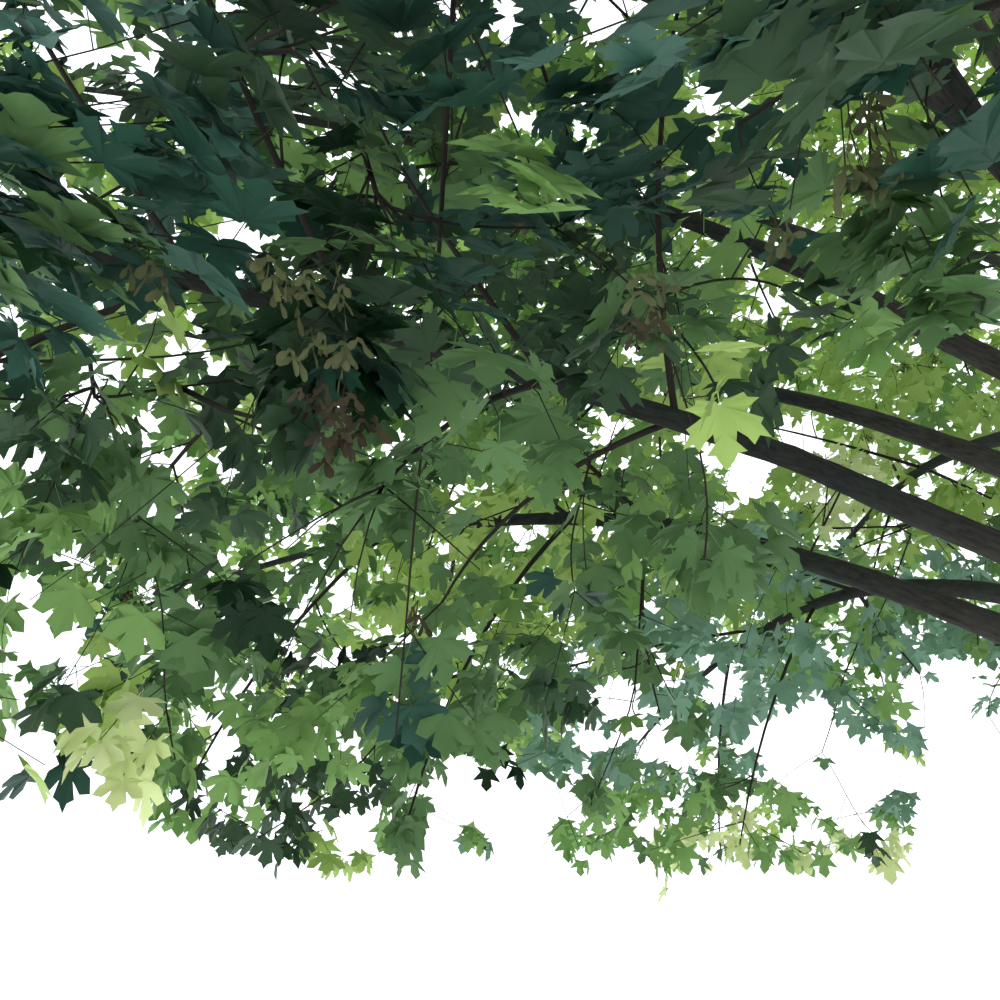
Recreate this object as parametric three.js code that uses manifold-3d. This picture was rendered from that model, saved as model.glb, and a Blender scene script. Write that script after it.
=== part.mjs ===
// A broad, low-branched maple tree in full summer leaf, built the way it grows: one trunk with a flared foot,
// tapering boughs in tiers, and a mass of foliage on the tip of every bough. In a mass, opposite pairs of twigs
// leave one stem and carry opposite pairs of lobed leaves, each of which stands for a spray of real ones, and
// hanging pairs of winged seeds. Millimetres, Z up, with the origin in the middle of the flat cut under the trunk.
import * as THREE from "three";
import { mergeVertices } from "three/addons/utils/BufferGeometryUtils.js";
import Module from "manifold-3d";

const wasm = await Module();
wasm.setup();

// Driving dimensions of the trunk
const TRUNK_HEIGHT = 5900; // its tip, among the feet of the top boughs
const TRUNK_RADIUS = 205; // just above the root flare
const TRUNK_TIP_RADIUS = 78;
const FLARE_REACH = 150; // how far the root flare stands out at the ground
const FLARE_HEIGHT = 330; // over which it dies away
const FLARE_LOBES = 5;
const TRUNK_LEAN = [-160, 90]; // of the tip along X and Y
const TRUNK_SWAY = 55;
const TRUNK_SIDES = 15;
const TRUNK_RINGS = 13;

// The tiers of boughs, from the lowest up.
// turn: bearing of the first bough, in degrees from +X.
// foot and climb: height at which the first bough leaves the trunk, and the rise from one foot to the next.
// out, height and half: where the foliage is centred, and its half sizes outwards, across and upwards.
// entry and aim: where in the foliage the bough ends, and which way the stem goes on from there, both as
// shares of the half sizes outwards and upwards.
// radii: of the bough at its foot and tip. arch: how much the bough rises early.
// droop: how much the leaves hang. rise: share of the high side's lift that the tier takes.
const TIERS = [
  {
    name: "low", count: 8, turn: 199, foot: 2420, climb: 85, out: 3500, height: 3880, half: [1850, 1850, 1500],
    entry: [-0.93, -0.2], aim: [1, 0.06], radii: [68, 37], arch: 0.1, droop: 0.16, rise: 1,
  },
  {
    name: "middle", count: 8, turn: 178, foot: 3250, climb: 110, out: 3520, height: 5750, half: [1850, 1750, 1350],
    entry: [-0.88, -0.44], aim: [1, 0.16], radii: [60, 32], arch: 0.08, droop: 0.12, rise: 0.3,
  },
  {
    name: "upper", count: 6, turn: 212, foot: 4300, climb: 110, out: 2750, height: 7500, half: [1650, 1700, 1250],
    entry: [-0.7, -0.66], aim: [1, 0.45], radii: [52, 28], arch: 0.02, droop: 0.08, rise: 0,
  },
  {
    name: "top", count: 3, turn: 170, foot: 5150, climb: 200, out: 1650, height: 8850, half: [1400, 1650, 1200],
    entry: [-0.55, -0.8], aim: [0.8, 0.8], radii: [44, 25], arch: -0.08, droop: 0.04, rise: 0,
  },
  {
    name: "leader", count: 1, turn: 20, foot: 5600, climb: 0, out: 80, height: 9280, half: [1050, 1050, 1170],
    entry: [-0.05, -0.95], aim: [0.2, 1], radii: [52, 28], arch: 0, droop: 0, rise: 0,
  },
];
const HIGH_SIDE = [70, 66]; // bearing and half width, in degrees, of the side where low foliage is kept higher
const HIGH_SIDE_LIFT = 800;
const BEARING_JITTER = 7; // degrees
const LOWEST_LEAF = 2420;
const HIGHEST_LEAF = 10420;

// Boughs
const BOUGH_SIDES = 7;
const BOUGH_STEPS = 3;
const COLLAR = 0.45; // how much a bough swells where it meets the trunk
const COLLAR_LENGTH = 130;

// Room between solids
const TOUCH_GAP = 0.3; // where one grows on from another
const LIMB_CLEARANCE = 40; // between foliage and any limb
const MASS_CLEARANCE = 12; // between a mass and the plane that parts it from its neighbour

// Stems and twigs
const STEM_SHARE = 0.66; // of its whole reach, where its own leaf begins
const STEM_TIP_RADIUS = 15;
const STEM_SIDES = 4;
const TWIG_SIDES = 3;
const TWIG_PAIRS = 4;
const PAIR_TURN = 75; // degrees from one pair to the next
const PAIR_PHASE = 30;
const PAIR_SPREAD = 0.62; // how far along the mass the first and last pair point
const TWIG_RADII = [12, 8];
const TWIG_SHARE = 0.52; // of a twig's whole reach, where its own leaf begins
const TWIG_BEND = 0.12;
const TWIG_ARCH = 0.1;

// Leaves: their outline from the root to the tip, as shares of the length along it, half across it and through it
const LEAF_OUTLINE = [
  { along: 0.38, wide: 0.62, thick: 0.014 },
  { along: 0.6, wide: 0.3, thick: 0.01 },
  { along: 1, wide: 0, thick: 0 },
];
const LEAF_ROOT = { wide: 6, thick: 4 };
const LEAVES_AT = 0.37; // where on their twig
const LEAF_ANGLE = 62; // degrees from the twig
const LEAF_LENGTH = [450, 1100]; // the least and the most
const SHRINK = 0.92; // from one try at fitting a piece to the next
const LEAST_SIZE = 0.5;

// Hanging pairs of winged seeds
const KEY_PAIR = 2; // the pair of twigs that carries them
const KEYS_AT = [0.24]; // where on their twig
const KEY_LENGTH = 270;
const KEY_OUTLINE = [
  { along: 0.72, wide: 0.42, thick: 0.03 },
  { along: 1, wide: 0, thick: 0 },
];
const KEY_STALK = 5; // radius

const UP = new THREE.Vector3(0, 0, 1);
const radians = THREE.MathUtils.degToRad;

// A seeded row of numbers from 0 to 1.
function dice(seed) {
  let state = seed;
  const roll = () => {
    state = (state * 1664525 + 1013904223) % 4294967296;
    return state / 4294967296;
  };
  for (let i = 0; i < 8; i++) roll();
  return roll;
}

// A closed three.js geometry as a solid.
function solid(geometry) {
  geometry.deleteAttribute("normal");
  geometry.deleteAttribute("uv");
  const merged = mergeVertices(geometry, 1e-3);
  return new wasm.Manifold(
    new wasm.Mesh({
      numProp: 3,
      vertProperties: merged.attributes.position.array,
      triVerts: new Uint32Array(merged.index.array),
    }),
  );
}

// The corners of a solid.
function corners(shape) {
  const { numProp, vertProperties } = shape.getMesh();
  return Array.from({ length: vertProperties.length / numProp }, (_, i) =>
    new THREE.Vector3().fromArray(vertProperties, i * numProp),
  );
}

// The largest body of a solid, without scraps.
function wholeBody(shape) {
  return shape.decompose().reduce((best, body) => (body.volume() > best.volume() ? body : best));
}

function meshOf(shape, name, material) {
  const points = corners(shape);
  const geometry = new THREE.BufferGeometry().setFromPoints(points);
  geometry.setIndex(new THREE.BufferAttribute(new Uint32Array(shape.getMesh().triVerts), 1));
  geometry.computeVertexNormals();
  const mesh = new THREE.Mesh(geometry, material);
  mesh.name = name;
  return mesh;
}

// True if two solids have nothing in common.
function apart(one, other) {
  const [a, b] = [one.boundingBox(), other.boundingBox()];
  return (
    [0, 1, 2].some((i) => a.min[i] > b.max[i] || b.min[i] > a.max[i]) || one.intersect(other).isEmpty()
  );
}

// A limb, a twig or a leaf: a sphere whose rings are carried along a path, from its first pole to its last. A ring
// has its share of the path and its half sizes across and through. swell(at, angle) stands out from them.
function limb(path, rings, side, sides, swell = () => 0) {
  const steps = rings.length - 1;
  const geometry = new THREE.SphereGeometry(1, sides, steps);
  const position = geometry.getAttribute("position");
  for (let i = 0; i < position.count; i++) {
    const [x, y, z] = [position.getX(i), position.getY(i), position.getZ(i)];
    const fromTop = Math.round((Math.acos(THREE.MathUtils.clamp(y, -1, 1)) / Math.PI) * steps);
    const { at, wide, thick } = rings[steps - fromTop];
    const point = path.at(at);
    if (wide > 0) {
      const along = path.tangent(at);
      const across = side.clone().addScaledVector(along, -side.dot(along)).normalize();
      const through = across.clone().cross(along);
      const angle = Math.atan2(x, z);
      const more = swell(at, angle);
      point.addScaledVector(across, (wide + more) * Math.sin(angle));
      point.addScaledVector(through, (thick + more) * Math.cos(angle));
    }
    position.setXYZ(i, point.x, point.y, point.z);
  }
  return solid(geometry);
}

// A ring drawn in to a point, which ends a limb: as its tip, or as the middle of its flat end.
const point = (at) => ({ at, wide: 0, thick: 0 });

const round = (at, radius) => ({ at, wide: radius, thick: radius });

// The rings of an outline that takes up a path from one share of it to its end.
function outlineRings(outline, from, length) {
  return outline.map(({ along, wide, thick }) => ({
    at: from + (1 - from) * along,
    wide: wide * length,
    thick: thick * length,
  }));
}

// A curve that starts along one direction and bends to its end.
function arc(start, middle, end) {
  const curve = new THREE.QuadraticBezierCurve3(start, middle, end);
  return {
    at: (share) => curve.getPoint(share),
    tangent: (share) => curve.getTangent(share),
    length: curve.getLength(),
  };
}

// Two halves that start at one root, as one piece from the tip of the first to the tip of the second.
function joinHalves([first, second], rootRing, side, sides) {
  const path = {
    at: (share) => (share < 0.5 ? first.path.at(1 - 2 * share) : second.path.at(2 * share - 1)),
    tangent: (share) => {
      if (share < 0.5) return first.path.tangent(1 - 2 * share).negate();
      if (share > 0.5) return second.path.tangent(2 * share - 1);
      return second.path.tangent(0).sub(first.path.tangent(0)).normalize();
    },
  };
  const before = first.rings.map((ring) => ({ ...ring, at: (1 - ring.at) / 2 })).reverse();
  const after = second.rings.map((ring) => ({ ...ring, at: (1 + ring.at) / 2 }));
  return limb(path, [...before, { ...rootRing, at: 0.5 }, ...after], side, sides);
}

// The trunk's axis, which leans and sways a little.
const trunkPath = {
  at: (share) =>
    new THREE.Vector3(
      TRUNK_LEAN[0] * share ** 2 + TRUNK_SWAY * Math.sin(Math.PI * 2 * share) * share,
      TRUNK_LEAN[1] * share ** 2 + TRUNK_SWAY * Math.sin(Math.PI * share) * share,
      TRUNK_HEIGHT * share,
    ),
  tangent: () => UP.clone(),
};

const trunkTaper = (share) =>
  TRUNK_TIP_RADIUS + (TRUNK_RADIUS - TRUNK_TIP_RADIUS) * (1 - share) ** 0.85;

// How far the root flare stands out, in lobes.
const flare = (share, angle) =>
  FLARE_REACH *
  Math.exp((-share * TRUNK_HEIGHT) / FLARE_HEIGHT) *
  (0.72 + 0.28 * Math.cos(FLARE_LOBES * angle));

// The trunk, or with room the space that is kept free round it.
function trunkSolid(room) {
  const rings = Array.from({ length: TRUNK_RINGS }, (_, i) => {
    const share = (i / (TRUNK_RINGS - 1)) ** 1.6;
    return round(share, trunkTaper(share) + room);
  });
  const top = 1 + room / TRUNK_HEIGHT;
  rings[TRUNK_RINGS - 1].at = top;
  return limb(trunkPath, [point(0), ...rings, point(top)], new THREE.Vector3(1, 0, 0), TRUNK_SIDES, flare);
}

// The space that a mass of foliage keeps to: an ellipsoid, cut by planes that part it from its neighbours.
class Space {
  constructor(centre, out, half) {
    this.centre = centre;
    this.axes = [out, UP.clone().cross(out), UP];
    this.half = half;
    this.walls = [];
  }

  vector(shares) {
    const found = new THREE.Vector3();
    this.axes.forEach((axis, i) => found.addScaledVector(axis, shares[i] * this.half[i]));
    return found;
  }

  point(shares) {
    return this.vector(shares).add(this.centre);
  }

  shares(vector) {
    return this.axes.map((axis, i) => vector.dot(axis) / this.half[i]);
  }

  partFrom(other) {
    const way = other.centre.clone().sub(this.centre);
    const distance = way.length();
    way.normalize();
    const [mine, theirs] = [this, other].map((space) => 1 / Math.hypot(...space.shares(way)));
    const limit = this.centre.dot(way) + (distance * mine) / (mine + theirs) - MASS_CLEARANCE;
    this.walls.push({ way, limit });
  }

  holds(point) {
    return (
      Math.hypot(...this.shares(point.clone().sub(this.centre))) <= 1 &&
      this.walls.every(({ way, limit }) => point.dot(way) <= limit)
    );
  }

  // How far it is from a point inside, one way, to the edge of the space.
  reach(point, way) {
    const from = this.shares(point.clone().sub(this.centre));
    const step = this.shares(way);
    const dot = (a, b) => a[0] * b[0] + a[1] * b[1] + a[2] * b[2];
    const [a, b, c] = [dot(step, step), dot(from, step), dot(from, from) - 1];
    const toEdge = (-b + Math.sqrt(Math.max(b * b - a * c, 0))) / a;
    const toWalls = this.walls
      .filter((wall) => way.dot(wall.way) > 0)
      .map((wall) => (wall.limit - point.dot(wall.way)) / way.dot(wall.way));
    return Math.max(Math.min(toEdge, ...toWalls), 0);
  }
}

// One mass of foliage: a stem that goes on from the bough and ends in a leaf, opposite pairs of twigs on it that end
// in a leaf too, and opposite pairs of leaves on those. What would leave the space, touch a limb or cross another
// piece is made shorter, and in the end left out.
function growMass({ space, tip, way, tipRadius, aim, droop, seed }, sleeves) {
  const roll = dice(seed);
  const jitter = (size) => (roll() * 2 - 1) * size;
  const pieces = [];

  const fits = (shape, parent) =>
    corners(shape).every((corner) => space.holds(corner)) &&
    [...pieces, ...sleeves].every((other) => other === parent || apart(shape, other));

  // Adds an opposite pair, or the one half of it that fits. Each half is made as long as it can be.
  const addPair = (makers, rootRing, side, parent, least) => {
    const halves = [];
    for (const make of makers) {
      for (let size = 1; size >= least; size *= SHRINK) {
        const half = make(size);
        const alone = limb(half.path, [point(0), { ...rootRing, at: 0 }, ...half.rings], side, TWIG_SIDES);
        if (fits(alone, parent)) {
          halves.push({ ...half, alone });
          break;
        }
      }
    }
    if (halves.length === 0) return { halves, shape: null };
    const shape = halves.length === 2 ? joinHalves(halves, rootRing, side, TWIG_SIDES) : halves[0].alone;
    pieces.push(shape);
    return { halves, shape };
  };

  // Opposite leaves in the plane of their twig and of a level line across it, with some droop.
  const addLeaves = (twigPath, at, parent) => {
    const root = twigPath.at(at);
    const along = twigPath.tangent(at);
    const level = UP.clone().cross(along).normalize();
    const normal = along.clone().cross(level);
    const makers = [1, -1].map((hand) => {
      const way = along.clone().applyAxisAngle(normal, radians(hand * (LEAF_ANGLE + jitter(8))));
      const most = Math.min(space.reach(root, way) * 0.97, LEAF_LENGTH[1]);
      return (size) => {
        const length = Math.max(most, LEAF_LENGTH[0]) * size;
        const end = root.clone().addScaledVector(way, length);
        end.z -= droop * length;
        const path = arc(root, root.clone().addScaledVector(way, length / 2), end);
        return { path, rings: outlineRings(LEAF_OUTLINE, 0, length) };
      };
    });
    addPair(makers, LEAF_ROOT, along, parent, LEAST_SIZE);
  };

  const addKey = (root, parent) => {
    const end = root.clone().addScaledVector(UP, -KEY_LENGTH);
    const path = arc(root, root.clone().lerp(end, 0.5), end);
    const bearing = jitter(Math.PI);
    const side = new THREE.Vector3(Math.cos(bearing), Math.sin(bearing), 0);
    const rings = [point(0), round(0, KEY_STALK), ...outlineRings(KEY_OUTLINE, 0, KEY_LENGTH)];
    const shape = limb(path, rings, side, TWIG_SIDES);
    if (fits(shape, parent)) pieces.push(shape);
  };

  const start = tip.clone().addScaledVector(way, TOUCH_GAP);
  const [outwards, upwards] = new THREE.Vector2(...aim).normalize().toArray();
  const edge = (lengthways, sideways, heightways) => {
    const shares = [
      lengthways * outwards - heightways * upwards,
      sideways,
      lengthways * upwards + heightways * outwards,
    ];
    const direction = space.vector(shares).normalize();
    return space.centre.clone().addScaledVector(direction, space.reach(space.centre, direction) * 0.98);
  };
  const far = edge(1, 0, 0);
  const stemPath = arc(start, start.clone().addScaledVector(way, start.distanceTo(far) * 0.4), far);
  const stemRings = [0, 0.5, 1].map((share) =>
    round(share * STEM_SHARE, tipRadius + (STEM_TIP_RADIUS - tipRadius) * share),
  );
  stemRings.push(...outlineRings(LEAF_OUTLINE, STEM_SHARE, stemPath.length * (1 - STEM_SHARE)));
  const stem = limb(stemPath, [point(0), ...stemRings], space.axes[1], STEM_SIDES);
  pieces.push(stem);

  for (let pair = 0; pair < TWIG_PAIRS; pair++) {
    const lengthways = -PAIR_SPREAD + (2 * PAIR_SPREAD * pair) / (TWIG_PAIRS - 1);
    const sideways = Math.sqrt(1 - lengthways ** 2);
    const foot = STEM_SHARE * (0.2 + (0.65 * pair) / (TWIG_PAIRS - 1));
    const from = stemPath.at(foot);
    const makers = [0, 180].map((opposite) => {
      const angle = radians(PAIR_PHASE + pair * PAIR_TURN + opposite + jitter(12));
      const limit = edge(lengthways, sideways * Math.cos(angle), sideways * Math.sin(angle));
      return (size) => {
        const end = from.clone().lerp(limit, size);
        const span = from.distanceTo(end);
        const bend = from.clone().lerp(end, 0.5).addScaledVector(stemPath.tangent(foot), span * TWIG_BEND);
        bend.z += TWIG_ARCH * span;
        const path = arc(from, bend, end);
        const rings = [round(TWIG_SHARE, TWIG_RADII[1])];
        rings.push(...outlineRings(LEAF_OUTLINE, TWIG_SHARE, path.length * (1 - TWIG_SHARE)));
        return { path, rings };
      };
    });
    const spread = makers[1](1).path.at(1).sub(makers[0](1).path.at(1)).normalize();
    const side = Math.abs(spread.z) > 0.8 ? space.axes[1].clone() : UP.clone().cross(spread);
    const twigs = addPair(makers, round(0, TWIG_RADII[0]), side, stem, LEAST_SIZE);
    for (const { path } of twigs.halves) {
      addLeaves(path, LEAVES_AT, twigs.shape);
      if (pair === KEY_PAIR) KEYS_AT.forEach((at) => addKey(path.at(at), twigs.shape));
    }
  }
  return wholeBody(wasm.Manifold.union(pieces));
}

// Where each bough and its foliage lie, worked out tier by tier.
function planBoughs() {
  const plans = [];
  TIERS.forEach((tier, tierIndex) => {
    const roll = dice(1000 + 77 * tierIndex);
    for (let i = 0; i < tier.count; i++) {
      const jitter = i === 0 ? 0 : (roll() * 2 - 1) * BEARING_JITTER;
      const bearing = tier.turn + (360 * i) / tier.count + jitter;
      const out = new THREE.Vector3(Math.cos(radians(bearing)), Math.sin(radians(bearing)), 0);
      const foot = tier.foot + tier.climb * ((i * 3) % tier.count);
      const fromHighSide = Math.abs(((bearing - HIGH_SIDE[0] + 540) % 360) - 180) / HIGH_SIDE[1];
      const raised = tier.rise * HIGH_SIDE_LIFT * Math.max(0, 1 - fromHighSide ** 2);
      const centre = trunkPath.at(1).multiplyScalar(0.6).setZ(tier.height + raised);
      centre.addScaledVector(out, tier.out);
      const space = new Space(centre, out, tier.half);
      const start = trunkPath.at(foot / TRUNK_HEIGHT);
      const tip = space.point([tier.entry[0], 0, tier.entry[1]]);
      const span = start.distanceTo(tip);
      const middle = start.clone().lerp(tip, 0.5).addScaledVector(UP, tier.arch * span);
      const path = arc(start, middle, tip);
      const [footRadius, tipRadius] = tier.radii;
      const radius = (share) => {
        const beyondTrunk = Math.max(0, share * span - trunkTaper(foot / TRUNK_HEIGHT));
        const swell = 1 + COLLAR * Math.exp(-beyondTrunk / COLLAR_LENGTH);
        return (footRadius + (tipRadius - footRadius) * share) * swell;
      };
      plans.push({
        name: `${tier.name}_${i + 1}`,
        path,
        radius,
        side: UP.clone().cross(out),
        space,
        tip,
        way: path.tangent(1).normalize(),
        tipRadius,
        aim: tier.aim,
        droop: tier.droop,
        seed: 5000 + 137 * tierIndex + 13 * i,
      });
    }
  });
  const ends = [
    { way: UP.clone().negate(), limit: -LOWEST_LEAF },
    { way: UP, limit: HIGHEST_LEAF },
  ];
  for (const plan of plans) {
    plan.space.walls.push(...ends);
    plans.filter((other) => other !== plan).forEach((other) => plan.space.partFrom(other.space));
  }
  return plans;
}

// A bough, or with room the space that is kept free round it.
function boughSolid({ path, radius, side }, room) {
  const rings = Array.from({ length: BOUGH_STEPS + 1 }, (_, i) => {
    const share = (i / BOUGH_STEPS) ** 1.2;
    return round(share, radius(share) + room);
  });
  return limb(path, [point(0), ...rings, point(1)], side, BOUGH_SIDES);
}

const bark = new THREE.MeshStandardMaterial({ color: 0x4a443c, roughness: 0.9, metalness: 0 });
const leaf = new THREE.MeshStandardMaterial({ color: 0x3f6b2c, roughness: 0.6, metalness: 0 });

const tree = new THREE.Group();
tree.name = "maple_tree";
tree.add(meshOf(trunkSolid(0), "trunk", bark));

const plans = planBoughs();
const trunkCut = trunkSolid(TOUCH_GAP);
for (const plan of plans) {
  const bough = wholeBody(boughSolid(plan, 0).subtract(trunkCut));
  tree.add(meshOf(bough, `bough_${plan.name}`, bark));
}

const sleeves = [trunkSolid(LIMB_CLEARANCE), ...plans.map((plan) => boughSolid(plan, LIMB_CLEARANCE))];
for (const plan of plans) {
  tree.add(meshOf(growMass(plan, sleeves), `foliage_${plan.name}`, leaf));
}

export default tree;
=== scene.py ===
import collections
import functools
import math

import bpy
import numpy as np
from bpy.props import FloatProperty, FloatVectorProperty, IntProperty, PointerProperty
from bpy.types import Operator, Panel, PropertyGroup
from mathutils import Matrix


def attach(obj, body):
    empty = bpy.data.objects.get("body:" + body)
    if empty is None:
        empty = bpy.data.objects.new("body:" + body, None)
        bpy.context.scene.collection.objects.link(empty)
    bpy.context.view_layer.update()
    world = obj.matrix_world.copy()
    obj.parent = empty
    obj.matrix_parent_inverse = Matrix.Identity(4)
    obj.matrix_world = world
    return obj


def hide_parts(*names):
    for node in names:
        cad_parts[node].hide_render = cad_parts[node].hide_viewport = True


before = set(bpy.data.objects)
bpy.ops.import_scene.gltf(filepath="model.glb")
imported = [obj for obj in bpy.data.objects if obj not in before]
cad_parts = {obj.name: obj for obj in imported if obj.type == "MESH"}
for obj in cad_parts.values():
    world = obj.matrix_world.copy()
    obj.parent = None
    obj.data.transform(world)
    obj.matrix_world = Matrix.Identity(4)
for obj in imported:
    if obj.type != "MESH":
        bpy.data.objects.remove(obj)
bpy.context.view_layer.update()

bl_info = {
    "name": "Maple tree",
    "version": (1, 0, 0),
    "blender": (4, 5, 0),
    "location": "View3D > Sidebar > Maple tree",
    "description": "A broad maple in summer leaf: trunk, boughs, and foliage that grows on from them",
    "category": "Add Mesh",
}

# Metres and degrees, in the frame of the solids: Z up, with the origin in the middle of the flat cut
# under the trunk. The trunk, the tiers of boughs and the spaces of foliage repeat the part's own driving
# dimensions.
TRUNK_HEIGHT = 5.9
TRUNK_RADIUS = 0.205
TRUNK_TIP_RADIUS = 0.078
TRUNK_TAPER = 0.85
FLARE_REACH = 0.15
FLARE_HEIGHT = 0.33
FLARE_LOBES = 5
TRUNK_LEAN = (-0.16, 0.09)
TRUNK_SWAY = 0.055

# The tiers of boughs, from the lowest up. turn: bearing of the first bough. foot and climb: height at
# which the first bough leaves the trunk, and the rise from one foot to the next. out, height and half:
# where the foliage is centred, and its half sizes outwards, across and upwards. entry and aim: where in
# the foliage the bough ends, and which way the stem goes on from there, as shares of the half sizes
# outwards and upwards. radii: of the bough at its foot and tip. arch: how much the bough rises early.
# rise: share of the high side's lift that the tier takes. hang: how much twigs and leaves droop. light:
# how much painted light the greens have.
TIERS = (
    {
        "name": "low", "count": 8, "turn": 199, "foot": 2.42, "climb": 0.085, "out": 3.5, "height": 3.88,
        "half": (1.85, 1.85, 1.5), "entry": (-0.93, -0.2), "aim": (1, 0.06), "radii": (0.068, 0.037),
        "arch": 0.1, "rise": 1, "hang": 0.16, "light": 0.66,
    },
    {
        "name": "middle", "count": 8, "turn": 178, "foot": 3.25, "climb": 0.11, "out": 3.52, "height": 5.75,
        "half": (1.85, 1.75, 1.35), "entry": (-0.88, -0.44), "aim": (1, 0.16), "radii": (0.06, 0.032),
        "arch": 0.08, "rise": 0.3, "hang": 0.12, "light": 0.64,
    },
    {
        "name": "upper", "count": 6, "turn": 212, "foot": 4.3, "climb": 0.11, "out": 2.75, "height": 7.5,
        "half": (1.65, 1.7, 1.25), "entry": (-0.7, -0.66), "aim": (1, 0.45), "radii": (0.052, 0.028),
        "arch": 0.02, "rise": 0, "hang": 0.05, "light": 0.66,
    },
    {
        "name": "top", "count": 3, "turn": 170, "foot": 5.15, "climb": 0.2, "out": 1.65, "height": 8.85,
        "half": (1.4, 1.65, 1.2), "entry": (-0.55, -0.8), "aim": (0.8, 0.8), "radii": (0.044, 0.025),
        "arch": -0.08, "rise": 0, "hang": -0.04, "light": 0.66,
    },
    {
        "name": "leader", "count": 1, "turn": 20, "foot": 5.6, "climb": 0, "out": 0.08, "height": 9.28,
        "half": (1.05, 1.05, 1.17), "entry": (-0.05, -0.95), "aim": (0.2, 1), "radii": (0.052, 0.028),
        "arch": 0, "rise": 0, "hang": -0.08, "light": 0.66,
    },
)
# Bearing and half width of the side where low foliage is kept higher
HIGH_SIDE = (70, 66)
HIGH_SIDE_LIFT = 0.8
BEARING_JITTER = 7
# How much of the trunk's lean the foliage follows
LEAN_SHARE = 0.6
LOWEST_LEAF = 2.42
HIGHEST_LEAF = 10.42
# How much a bough swells where it meets the trunk
COLLAR = 0.45
COLLAR_LENGTH = 0.13
MASS_CLEARANCE = 0.012

# A mass's own wood, from the part: pairs of twigs on one stem. STEM_SHARE: the share of the stem that
# carries them. STEM_RUN: how far it runs on with the bough, as a share of its reach. EDGE_SHARE: how far
# wood goes to the edge.
STEM_SHARE = 0.66
STEM_RUN = 0.4
STEM_TIP_RADIUS = 0.007
EDGE_SHARE = 0.98
TWIG_PAIRS = 4
# Where on that share of the stem the first pair stands, and how much further the last
PAIRS_AT = (0.2, 0.65)
# How far each pair turns on round the stem, where round it the first one stands, how far back and
# forwards the first and the last point, as a share, and how far chance turns a twig
PAIR_TURN = 75
PAIR_PHASE = 30
PAIR_SPREAD = 0.62
PAIR_JITTER = 12
# How far a twig bends on along the stem and how far it arches up, as shares of its span, and its radii
TWIG_BEND = 0.12
TWIG_ARCH = 0.1
TWIG_RADII = (0.012, 0.0045)
# Points along each kind of wood
STEM_STEPS, TWIG_STEPS, SIDE_STEPS, SHOOT_STEPS, SEEN_STEPS = 24, 12, 10, 4, 24

# Finer wood: how far it runs on with the wood at its foot, as a share of its span, and its radii. A
# foot's radius is a least one and a share of the span, but no more than FOOT_SHARE of the wood that it
# grows from.
FINE_RUN = 0.16
FOOT_SHARE = 0.75
SEEN_RADII = (0.008, 0.003)
SIDE_FOOT, SIDE_TIP = (0.0035, 0.005), 0.0028
SHOOT_FOOT, SHOOT_TIP = (0.0022, 0.003), 0.0014
# The share of its tier's hang that a side twig has, and how crooked it is, as a share of its span
SIDE_HANG, SIDE_CROOK = 0.8, 0.02
# The shortest side twigs and shoots
LEAST_SIDE, LEAST_SHOOT = 0.2, 0.06
# How much further away wood counts that a twig would have to turn back from
TURN_BACK = 0.9
# Places drawn in a space for each cube of the spacing
SCATTER_TRIES = 60
# How far inside the space they stay: as a share of the ellipsoid, and off the walls
SCATTER_SLACK, SCATTER_MARGIN = 0.96, 0.03
# How wide bare wood, the ends of side twigs, those of shoots, and bunches are taken to be in an opening
WOOD_ROOM, SIDE_ROOM, SHOOT_ROOM, BUNCH_ROOM = 0.02, 0.1, 0.12, 0.1

# The camera: its place, how far above level and how far from +Y towards +X it looks, its angle of view
# across the frame, and how many pixels across the photograph's frame is taken to be
EYE = np.array([-4.08, -0.35, 1.65])
LOOK_UP = 34.6
LOOK_TURN = 43.5
FIELD = 51
PICTURE = 1000
# How many pixels wide something looks that is as wide as it is far
FOCAL = PICTURE / 2 / math.tan(math.radians(FIELD / 2))

# Places of the photograph, in pixels of its frame. Twigs that stand out: each is a row of points, with
# how far each point is from the eye.
SEEN_TWIGS = (
    ((457, -60, 2.1), (447, 110, 2.25), (440, 230, 2.35), (433, 345, 2.5), (418, 480, 2.6), (408, 600, 2.65),
     (395, 745, 2.7)),
    ((-40, 362, 3.2), (100, 360, 3.1), (190, 354, 3.0), (285, 336, 2.9)),
    ((95, 400, 2.8), (170, 388, 2.8), (240, 380, 2.8)),
    ((240, 418, 2.6), (330, 405, 2.5), (400, 375, 2.45), (470, 345, 2.4)),
    ((300, 50, 2.6), (328, 105, 2.5), (364, 152, 2.4)),
    ((380, 205, 2.3), (460, 225, 2.3), (555, 228, 2.3)),
    ((405, 690, 4.4), (365, 760, 4.5), (310, 805, 4.6), (235, 852, 4.8)),
    ((634, 698, 4.6), (616, 745, 4.6), (596, 792, 4.6)),
    ((850, 472, 6.1), (815, 520, 6.0), (778, 566, 5.9)),
    ((914, 526, 6.1), (892, 585, 6.0), (865, 645, 5.9)),
    ((922, 522, 6.3), (862, 545, 6.2), (798, 574, 6.1)),
    ((968, 560, 6.7), (975, 600, 6.6), (978, 645, 6.5)),
    ((842, 680, 6.4), (834, 715, 6.4), (822, 752, 6.4)),
)
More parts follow.
